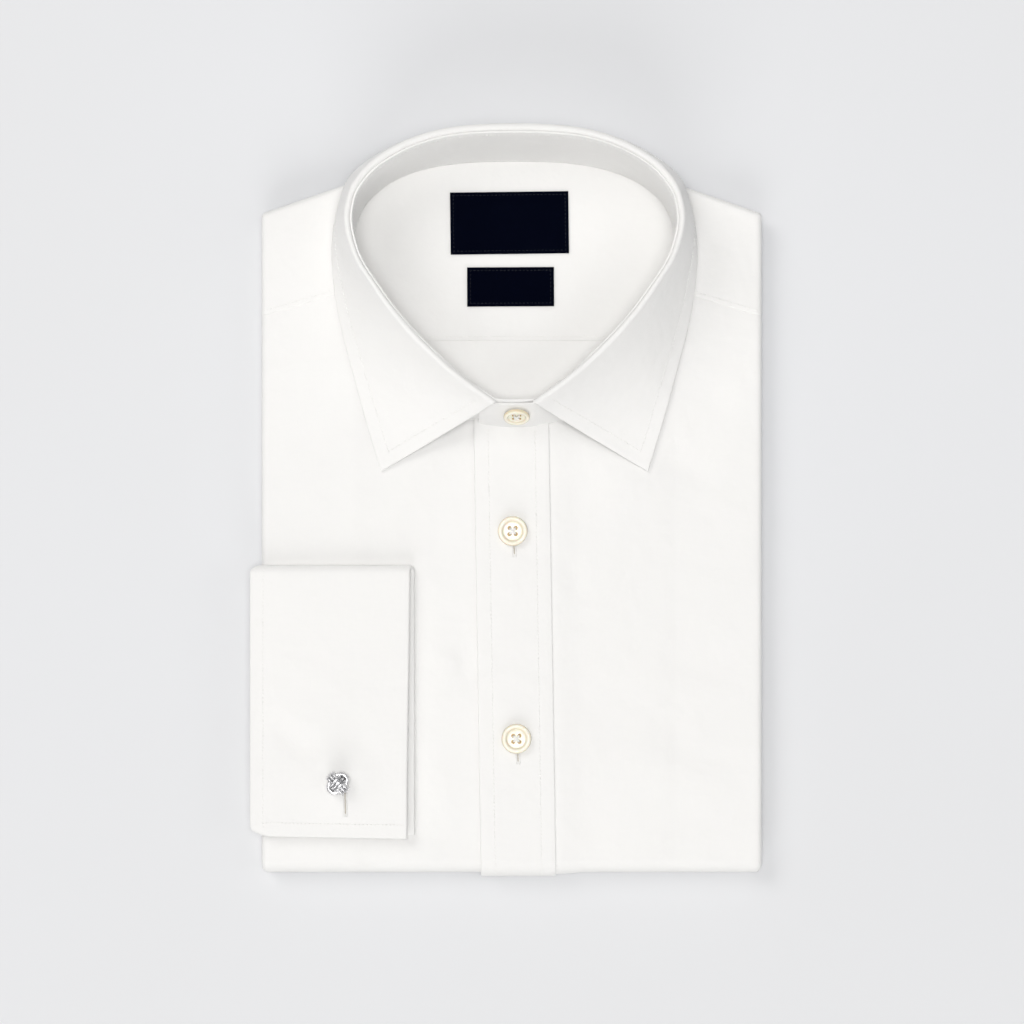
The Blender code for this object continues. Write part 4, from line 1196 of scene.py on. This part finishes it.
def make_leaf(cotton):
    middle = np.array([leaf_section(collar_at(float(a))) for a in np.linspace(-1, 1, 221)])
    grid = middle + grid_normals(middle) * LEAF_WALL / 2
    from_edge = run_lengths(grid[:, ::-1], 1)[:, ::-1]
    from_front = np.minimum(run_lengths(grid, 0), run_lengths(grid[::-1], 0)[::-1])
    nearest = np.minimum(from_edge, from_front)
    grid = grid - grid_normals(middle) * (DIMPLE * bell((nearest - LEAF_STITCH) / 1.1))[:, :, None]
    lay_cloth("collar_leaf", grid, cotton, ["collar_stand"], wall=LEAF_WALL, roll=0.5)
    return grid


# ---- cuff, sleeve, cufflink --------------------------------------------------------------------


def tilted(points, middle, degrees):
    """Points turned about X, then moved to a middle."""
    lean = math.radians(degrees)
    x, y, z = np.asarray(points, float).T
    y, z = y * math.cos(lean) - z * math.sin(lean), y * math.sin(lean) + z * math.cos(lean)
    return np.stack([x, y, z], axis=1) + middle


def placed(shape, middle, degrees=0.0):
    """(points, faces) with the points turned about X, then moved to a middle."""
    points, faces = shape
    return tilted(points, middle, degrees), faces


def cuff_floor(x, y):
    """The face that the cuff lies on: the front, and the cufflink's back where it is."""
    away = np.hypot(x - LINK_X, y - LINK_Y)
    rise = LINK_BACK_THICK + 2 * SEAM
    bump = rise * smooth((LINK_BUMP - away) / (LINK_BUMP - LINK_BACK))
    inside = np.maximum(x, -BODY_HALF + SIDE_ROUND)
    return top_height(inside, y) + SEAM + bump


def cuff_row(x, depth, share):
    """share runs from -1, the kissing end below, through 0, the fold, to 1, the end above."""
    bend = CUFF_BEND_SHARE
    flat_top = CUFF_HEAD_Y - CUFF_HEAD_REACH
    side = 1.0 if share > 0 else -1.0
    if abs(share) >= bend:
        y = np.full_like(x, flat_top + (CUFF_FOOT_Y - flat_top) * (abs(share) - bend) / (1 - bend))
        level = CUFF_THICK / 2 + side * (CUFF_THICK / 2 - depth)
    else:
        angle = math.pi / 2 * share / bend
        y = flat_top + (CUFF_HEAD_REACH - depth) * math.cos(angle)
        level = CUFF_THICK / 2 + (CUFF_THICK / 2 - depth) * math.sin(angle)
    below = float(smooth((0.1 - share) / 0.2))
    shift = below * CUFF_LOWER_OUT * smooth((x + 100) / 50)
    drawn = np.maximum(CUFF_LOWER_IN_X - x, 0) / (CUFF_LOWER_IN_X - CUFF_FREE_X)
    shift = shift + below * CUFF_LOWER_IN * drawn
    hang = np.maximum(CUFF_DROOP_X - x, 0) / (CUFF_DROOP_X - CUFF_FREE_X)
    level = level - (1 - below) * CUFF_DROOP * hang**2
    corner = np.clip(CUFF_CORNER - (y - CUFF_FOOT_Y), 0, CUFF_CORNER)
    head = np.clip(CUFF_CORNER - (CUFF_HEAD_Y - y), 0, CUFF_CORNER)
    corner = np.maximum(corner, 0.55 * head)
    pull = CUFF_CORNER - np.sqrt(np.maximum(CUFF_CORNER**2 - corner**2, 0))
    shift = shift + pull * np.clip((CUFF_FREE_X + 9 - x) / 9, 0, 1) * (depth < CUFF_HALF / 2)
    askew = CUFF_SLANT * (1 - below) * float(smooth(share))
    shift = shift - askew * smooth((x + 100) / 50)
    y = y - 0.9 * askew * (x - CUFF_FREE_X) / (CUFF_WRIST_X - CUFF_FREE_X)
    moved = x + shift
    if share > 0:
        level = level + cuff_rumple(moved, y)
    return np.stack([moved, y, cuff_floor(moved, y) + level], axis=1)


def make_cuff(cotton):
    """A double cuff: turned back at the wrist fold, then folded round the wrist, its two ends kissing."""
    flat_shares = CUFF_BEND_SHARE + (1 - CUFF_BEND_SHARE) * np.linspace(0, 1, 66)
    bend_shares = np.linspace(-CUFF_BEND_SHARE, CUFF_BEND_SHARE, 19)[1:-1]
    shares = np.concatenate([-flat_shares[::-1], bend_shares, flat_shares])
    turn = CUFF_HALF / 2
    near_free = np.arange(CUFF_FREE_X, CUFF_FREE_X + 12, 1.0)
    outer_xs = np.concatenate([near_free, np.arange(CUFF_FREE_X + 13, CUFF_WRIST_X - 2.5, 1.9)])
    columns = [(x, 0.0) for x in outer_xs]
    columns += [(CUFF_WRIST_X - turn + out, down) for out, down in round_off(turn, range(0, 181, 18))]
    columns += [(x, CUFF_HALF) for x in np.arange(-54.0, CUFF_INNER_X, -3.0)]
    x, depth = (np.array(values) for values in zip(*columns))
    grid = np.array([cuff_row(x, depth, float(share)) for share in shares])
    outer = grid[:, : len(outer_xs)]
    nearest = np.minimum(run_lengths(outer, 1), run_lengths(outer[::-1], 0)[::-1])
    dimple = DIMPLE * bell((nearest - CUFF_STITCH) / 0.9)
    outer -= grid_normals(grid)[:, : len(outer_xs)] * dimple[:, :, None]
    lay_cloth("cuff_right", grid, cotton, ["front_right"], **DOUBLE)
    return outer


def make_sleeve(cotton):
    """The sleeve leaves the cuff, rounds the side fold and goes in under it."""
    low_z = EDGE_HEIGHT - 2 * SIDE_ROUND - 0.2
    low_x, cuff_x, high_x = -109.0, -115.0, -104.0  # its end below, its rest on the cuff, its end in it
    wall = 1.0
    rows = []
    for y in np.linspace(CUFF_HEAD_Y - CUFF_HEAD_REACH - 1.0, CUFF_FOOT_Y + 2.0, 60):
        floor = float(cuff_floor(cuff_x, y))
        inside_z = floor + CUFF_HALF + CUFF_INSIDE / 2 + wall / 2
        height = inside_z - low_z + wall
        reach = SIDE_ROUND + 2 * SEAM + wall + 0.3 * math.sin(0.11 * y)
        row = [(low_x, y, inside_z - height)]
        for angle in np.radians(np.arange(180, -1, -12)):
            x = BODY_HALF - SIDE_ROUND + reach * math.sin(angle) ** 0.7
            row.append((-x, y, inside_z - height / 2 + height / 2 * math.cos(angle)))
        row.append((high_x, y, inside_z))
        rows.append(row)
    lay_cloth("sleeve_right", np.array(rows), cotton, ["cuff_right"])


def make_cufflink(silver, oxide_shade_silver):
    """A knot of three bands of strands, each over the next, on a post with a flat back."""
    base = float(top_height(LINK_X, LINK_Y)) + SEAM
    head = LINK_BACK_THICK + 2 * SEAM + CUFF_THICK + SEAM
    strand, apart = 0.78, 1.62
    middle_z = base + head + LINK_HEAD_HEIGHT / 2 + 0.2
    turns = np.linspace(0, 2 * math.pi, 73)[:-1]
    longways, shortways, squash = 5.3, 3.35, 0.72
    swing = math.radians(45)
    parts = []
    for band in range(3):
        for place in (-apart, 0.0, apart):
            shrink = math.sqrt(1 - (place / longways) ** 2)
            ring = np.zeros((len(turns), 3))
            wide, narrow = np.cos(turns), np.sin(turns)
            ring[:, band] = longways * shrink * np.sign(wide) * np.abs(wide) ** 0.86
            ring[:, (band + 1) % 3] = shortways * np.sign(narrow) * np.abs(narrow) ** 0.86
            ring[:, (band + 2) % 3] = place
            ring[:, 2] *= squash
            x = ring[:, 0] * math.cos(swing) - ring[:, 1] * math.sin(swing)
            y = ring[:, 0] * math.sin(swing) + ring[:, 1] * math.cos(swing)
            path = np.stack([LINK_X + x, LINK_Y + y, middle_z + ring[:, 2]], axis=1)
            parts.append(tube(path, strand, 12, closed=True))
    post = [(0.0, 0.0), (LINK_BACK - 0.4, 0.0), (LINK_BACK, 0.4), (LINK_BACK, 0.8)]
    post += [(LINK_BACK - 0.4, LINK_BACK_THICK), (1.6, LINK_BACK_THICK + 0.1)]
    post += [(1.0, LINK_BACK_THICK + 0.6), (1.0, head + 2.0), (0.0, head + 2.0)]
    parts.append(placed(turned(post, 40), (LINK_X, LINK_Y, base)))
    finish_part(merged("cufflink_knot", parts, silver), ["cufflink"])
    # the core: silver darkened to a tenth and set inside the knot. Between the strands it shows as oxide
    # in the hollows and as painted shade
    wide, high = 3.7, 3.7 * squash  # radii of the core
    core = [(wide * math.cos(a), high * math.sin(a)) for a in np.radians(range(-75, 76, 15))]
    core = placed(turned([(0.0, -high), *core, (0.0, high)], 32), (LINK_X, LINK_Y, middle_z))
    finish_part(merged("cufflink_shade_core", [core], oxide_shade_silver))


# ---- buttons, labels ---------------------------------------------------------------------------


def paint_tan_shade(mesh, middle, degrees, size):
    """Marks where a button's edge and the step round its well get their tan painted shade."""
    points = np.empty(len(mesh.vertices) * 3)
    mesh.vertices.foreach_get("co", points)
    local = tilted(points.reshape(-1, 3) / MM - ORIGIN - middle, (0.0, 0.0, 0.0), -degrees)
    radius = np.hypot(local[:, 0], local[:, 1]) / size
    # painted shade, by radius: a band at the rim's edge and a weaker one at the step round the well
    bands = bell((radius - BUTTON) / 0.3) + 0.7 * bell((radius - 4.75) / 0.32)
    mesh.attributes.new("tan_painted_shade", "FLOAT", "POINT").data.foreach_set("value", np.minimum(bands, 1.0))


def make_button(name, middle, tilt, size, stuffs):
    """A polished button with a raised rim, a well and four holes, sewn on with crossed thread."""
    shell, hole_glow, thread = stuffs
    well = 1.55
    profile = [(0.0, 0.0), (4.0, 0.0), (5.6, 0.12), (6.5, 0.5), (7.0, 1.0), (BUTTON, 1.45)]
    profile += [(7.02, 1.9), (6.8, 2.25), (6.45, 2.5), (6.05, BUTTON_THICK), (5.65, 2.58)]
    profile += [(5.3, 2.45), (5.0, 2.2), (4.78, 1.9), (4.55, 1.68), (4.3, well + 0.04), (4.0, well)]
    profile += [(3.2, well - 0.01), (2.0, well - 0.02), (0.0, well - 0.02)]
    disc = turned([(radius * size, height) for radius, height in profile], 72)
    button = merged(name + "_disc", [placed(disc, middle, tilt)], shell)
    spread = BUTTON_HOLE_SPREAD * size / math.sqrt(2)
    spots = [(spread * a, spread * b) for a, b in ((1, 1), (-1, 1), (-1, -1), (1, -1))]
    holes = []
    floor = 0.75
    flare = [(0.0, floor), (BUTTON_HOLE, floor), (BUTTON_HOLE, well - 0.3)]
    flare += [(BUTTON_HOLE + 0.2, well + 0.03), (BUTTON_HOLE + 0.3, 3.2), (0.0, 3.2)]
    for x, y in spots:
        points, faces = turned(flare, 20)
        holes.append((tilted(points + (x, y, 0.0), middle, tilt), faces))
    # the cutters carry an amber painted light onto the holes' walls, standing in for light that shines
    # through the shell
    cutter = merged(name + "_holes", holes, hole_glow)
    drill = button.modifiers.new("holes", "BOOLEAN")
    drill.operation, drill.solver, drill.object = "DIFFERENCE", "EXACT", cutter
    drill.material_mode = "TRANSFER"
    graph = bpy.context.evaluated_depsgraph_get()
    drilled = bpy.data.meshes.new_from_object(button.evaluated_get(graph))
    button.modifiers.clear()
    button.data = drilled
    bpy.data.objects.remove(cutter, do_unlink=True)
    drilled.set_sharp_from_angle(angle=math.radians(38))  # the holes' edges
    paint_tan_shade(drilled, middle, tilt, size)
    finish_part(button, [name])
    strands = []
    for (from_x, from_y), (to_x, to_y), rise in ((*spots[0::2], 0.35), (*spots[1::2], 0.6)):
        run = np.array([to_x - from_x, to_y - from_y])
        side = np.array([-run[1], run[0]]) / np.linalg.norm(run) * 0.25
        for lay in (-1, 1):
            path = []
            for t in np.linspace(0, 1, 15):
                flat = np.array([from_x, from_y]) + run * t + side * lay
                arch = min(math.sin(math.pi * t) * 2.6, 1.0)
                path.append((*flat, floor - 0.1 + (well - floor + 0.1 + rise) * arch))
            strands.append(tube(tilted(path, middle, tilt), 0.26, 8))
    shank = [(0.0, -1.5), (1.1, -1.5), (1.0, -0.4), (1.4, 0.2), (0.0, 0.2)]
    strands.append(placed(turned(shank, 14), middle, tilt))
    finish_part(merged(name + "_thread", strands, thread))


def make_buttons(stuffs):
    for name, x, y in BUTTON_PLACES:
        z = float(front_height(x, y)) + 2 * LAP + 0.45
        make_button(name, (x, y, z), 0.0, 1.0, stuffs)
    front = stand_end(COLLAR_BUTTON_X, 1.0)
    seam_y, rim_y = front["seam_y"] - STAND_LAP, front["rim_y"] - STAND_LAP
    base = float(top_height(NECK_X, seam_y)) - STAND_FOOT
    slope = math.atan2(front["rim_z"] - base, rim_y - seam_y)
    clear = STAND_WALL / 2 + SEAM + 0.2
    y = seam_y + (rim_y - seam_y) * COLLAR_BUTTON_UP - clear * math.sin(slope)
    z = base + (front["rim_z"] - base) * COLLAR_BUTTON_UP + clear * math.cos(slope)
    place = np.array((NECK_X + COLLAR_BUTTON_X, y, z))
    make_button("button_collar", place, math.degrees(slope), COLLAR_BUTTON_SIZE, stuffs)


def make_labels(woven):
    """Two woven labels, bare, lying on the inner yoke."""
    grids = []
    for name, width, length, mid_x, mid_y, turn in LABELS:
        lean = math.radians(turn)
        halves = np.linspace(-width / 2, width / 2, 58), np.linspace(length / 2, -length / 2, 30)
        across, along = np.meshgrid(*halves)
        x = mid_x + across * math.cos(lean) - along * math.sin(lean)
        y = mid_y + across * math.sin(lean) + along * math.cos(lean)
        curl = 0.18 * bell((width / 2 - np.abs(across)) / 1.6)
        grid = np.stack([x, y, inside_height(x, y) + LABEL_LIFT + curl], axis=2)
        lay_cloth(name, grid, woven, ["yoke_inner"], "laid", "navy_label", wall=0.6, roll=0.25)
        grids.append(grid)
    return grids


# ---- stitching of the whole shirt --------------------------------------------------------------


def stitch_all(tree, grids, white, navy):
    """Topstitching and edge stitching, in rows along the edges of the grids."""

    def sew(name, kind, rows, thread=white):
        stitched("stitches_" + name, tree, [(kind, rows)], thread)

    ends = ("first", "last")
    placket, leaf, stand, cuff = (grids[k] for k in ("placket", "leaf", "stand", "cuff"))
    rows = [inset_line(placket, f"{end} column", PLACKET_STITCH, (3, 14)) for end in ends]
    sew("placket", TOPSTITCH, rows)
    rows = [inset_line(leaf, "last column", LEAF_STITCH, (LEAF_STITCH, LEAF_STITCH))]
    rows += [inset_line(leaf, f"{end} row", LEAF_STITCH, (8.0, LEAF_STITCH)) for end in ends]
    sew("collar_leaf", TOPSTITCH, rows)
    rows = [inset_line(stand, "first column", STAND_SEAM_STITCH, (3, 3))]
    rows.append(inset_line(stand, "first column", STAND_SEAM_STITCH, (3, 3), face=STAND_WALL))
    rows.append(inset_line(stand, "last column", STAND_RIM_STITCH, (3, 3)))
    sew("collar_stand", EDGE_STITCH, rows)
    half = len(cuff) // 2
    rows = [inset_line(cuff[half:], "first column", CUFF_STITCH, (2, CUFF_STITCH))]
    rows.append(inset_line(cuff[half:], "last row", CUFF_STITCH, (CUFF_STITCH, 0)))
    rows.append(inset_line(cuff[:half], "first row", CUFF_STITCH, (CUFF_STITCH, 0)))
    sew("cuff", TOPSTITCH, rows)
    across = grids["yoke"][0, :, 0] - NECK_X
    beside = [grids["yoke"][:, side * across > NECK_HALF + NECK_EDGE - 2] for side in (-1, 1)]
    rows = [inset_line(flat, "last row", YOKE_STITCH) for flat in beside]
    rows.append(inset_line(grids["yoke_inner"], "last row", YOKE_INNER_STITCH, span=(0.12, 0.88)))
    sew("yoke", EDGE_STITCH, rows)
    trim = (LABEL_STITCH, LABEL_STITCH)
    sides = [f"{end} {axis}" for axis in ("row", "column") for end in ends]
    rows = [inset_line(label, side, LABEL_STITCH, trim) for label in grids["labels"] for side in sides]
    sew("labels", EDGE_STITCH, rows, navy)


def straight(ends, height):
    """(points, normals) of a straight row on a nearly level face."""
    (from_x, from_y), (to_x, to_y) = ends
    share = np.linspace(0, 1, 24)
    x, y = from_x + (to_x - from_x) * share, from_y + (to_y - from_y) * share
    points = np.stack([x, y, height(x, y)], axis=1)
    return points, np.tile((0.0, 0.0, 1.0), (len(share), 1))


def stitch_buttonholes(tree, white, raw_edge_shadow):
    """Satin rows on both sides of each slit, and a bar tack at its lower end."""
    above, below, askew, beside = 4.5, 11.6, 0.9, 0.66  # a slit from its button, and its satin

    def placket_height(x, y):
        return front_height(x, y) + 2 * LAP

    def cuff_height(x, y):
        return cuff_floor(x, y) + CUFF_THICK + cuff_rumple(x, y)

    holes = [(x, y + above, x + askew, y - below, placket_height) for _, x, y in BUTTON_PLACES]
    holes.append((LINK_X + 3.1, LINK_Y + 4.0, LINK_X + 3.3, LINK_Y - 15.6, cuff_height))
    satin, tacks, slits = [], [], []
    for top_x, top_y, low_x, low_y, height in holes:
        for side in (-beside, beside):
            satin.append(straight(((top_x + side, top_y), (low_x + side, low_y)), height))
        # each slit is a thin dark tan strand sunk flush in the cloth: its raw cut edges, plus painted
        # shadow in the gap between the satin rows
        slit, _ = straight(((top_x, top_y), (low_x, low_y)), height)
        slits.append(tube(slit - (0.0, 0.0, 0.06), 0.2, 6))
    finish_part(merged("buttonhole_slits", slits, raw_edge_shadow))
    for _, _, low_x, low_y, height in holes:
        tacks.append(straight(((low_x, low_y + 0.5), (low_x, low_y - 0.8)), height))
    stitched("stitches_buttonholes", tree, [(SATIN, satin), (BAR_TACK, tacks)], white)


# ---- studio ------------------------------------------------------------------------------------

VIEW_MIDDLE = (0.1, 173.4, 9.5)
VIEW_WIDTH = 492.5
LENS, SENSOR = 100.0, 36.0


def area_light(name, place, aim, size, power, colour):
    data = bpy.data.lights.new(name, "AREA")
    data.shape, data.size, data.energy, data.color = "DISK", size, power, colour
    lamp = bpy.data.objects.new(name, data)
    away = np.array(place) - np.array(aim)
    lamp.location = place
    lamp.rotation_euler = (
        math.atan2(math.hypot(away[0], away[1]), away[2]),
        0.0,
        math.atan2(away[1], away[0]) + math.pi / 2,
    )
    bpy.context.scene.collection.objects.link(lamp)


def make_studio(card):
    scene = bpy.context.scene
    data = bpy.data.cameras.new("camera")
    data.lens, data.sensor_width = LENS, SENSOR
    data.clip_start, data.clip_end = 0.01, 20.0
    camera = bpy.data.objects.new("camera", data)
    camera.location = metres(VIEW_MIDDLE) + (0.0, 0.0, VIEW_WIDTH * MM * LENS / SENSOR)
    scene.collection.objects.link(camera)
    scene.camera = camera

    mesh = bpy.data.meshes.new("studio_floor")
    reach = 3.0
    corners = [(x * reach, y * reach, 0) for x, y in ((-1, -1), (1, -1), (1, 1), (-1, 1))]
    mesh.from_pydata(corners, [], [(0, 1, 2, 3)])
    object_of("studio_floor", mesh, card)

    area_light("key", (-2.4, 2.2, 3.2), (0, 0, 0), 2.4, 60.0, (1.0, 0.985, 0.965))
    area_light("front", (-0.5, -3.6, 1.9), (0, 0, 0), 3.2, 66.0, (1.0, 0.99, 0.98))
    area_light("side", (3.4, -0.2, 2.8), (0, 0, 0), 2.6, 16.0, (0.98, 0.99, 1.0))
    area_light("overhead", (0.0, 0.1, 3.2), (0, 0, 0), 1.4, 54.0, (1.0, 0.99, 0.98))
    world = bpy.data.worlds.new("studio")
    scene.world = world
    world.use_nodes = True
    sky = world.node_tree.nodes["Background"]
    sky.inputs["Color"].default_value = (0.985, 0.99, 1.0, 1)
    sky.inputs["Strength"].default_value = 0.24
    scene.view_settings.view_transform = "Standard"


# ---- the whole shirt ---------------------------------------------------------------------------


def main():
    groups = {"weave": make_weave_group(), "wear": make_wear_group()}
    weaves = {
        "white_cotton": (
            (0.83, 0.825, 0.812), (0.815, 0.811, 0.80), 0.00026, 0.035, 0.86, 0.35,
            {"Sheen Weight": 0.25},
        ),
        "navy_label": (
            (0.0012, 0.0018, 0.0058), (0.002, 0.0028, 0.0078), 0.0004, 0.06, 0.7, 0.1,
            {"Specular IOR Level": 0.0},
        ),
    }
    cotton, label = (make_woven(name, groups, *look) for name, look in weaves.items())
    white = make_thread("white_thread", (0.84, 0.835, 0.82))
    navy = make_thread("navy_thread", (0.003, 0.0045, 0.012), **{"Specular IOR Level": 0.02})
    # the holes' amber is painted light: light that shines through the shell, painted onto the holes'
    # walls
    shell, hole_glow = make_shell_button(groups), make_thread("button_hole_painted_glow", (0.66, 0.47, 0.20), 0.4)
    # the second silver is darkened to a tenth: oxide and painted shade for the knot's core
    silver, oxide_shade_silver = make_silver(groups, "silver", 1.0), make_silver(groups, "silver_oxide_painted_shade", 0.1)
    make_studio(make_floor(groups))

    make_fronts(cotton)
    grids = {"placket": make_placket(cotton), "yoke": make_yoke(cotton)}
    grids["yoke_inner"] = make_back(cotton)
    for name, xs, *sizes in FOLDED_PLIES:
        ply(name, xs, *sizes, cotton)
    grids["stand"] = make_stand(cotton)
    grids["leaf"] = make_leaf(cotton)
    grids["cuff"] = make_cuff(cotton)
    make_sleeve(cotton)
    make_cufflink(silver, oxide_shade_silver)
    make_buttons((shell, hole_glow, white))
    grids["labels"] = make_labels(label)
    tree = make_stitch_tree()
    stitch_all(tree, grids, white, navy)
    # the slits' dark tan is raw cut cloth plus painted shadow
    stitch_buttonholes(tree, white, make_thread("cut_edge_painted_shadow", (0.46, 0.40, 0.31), 0.9))


main()
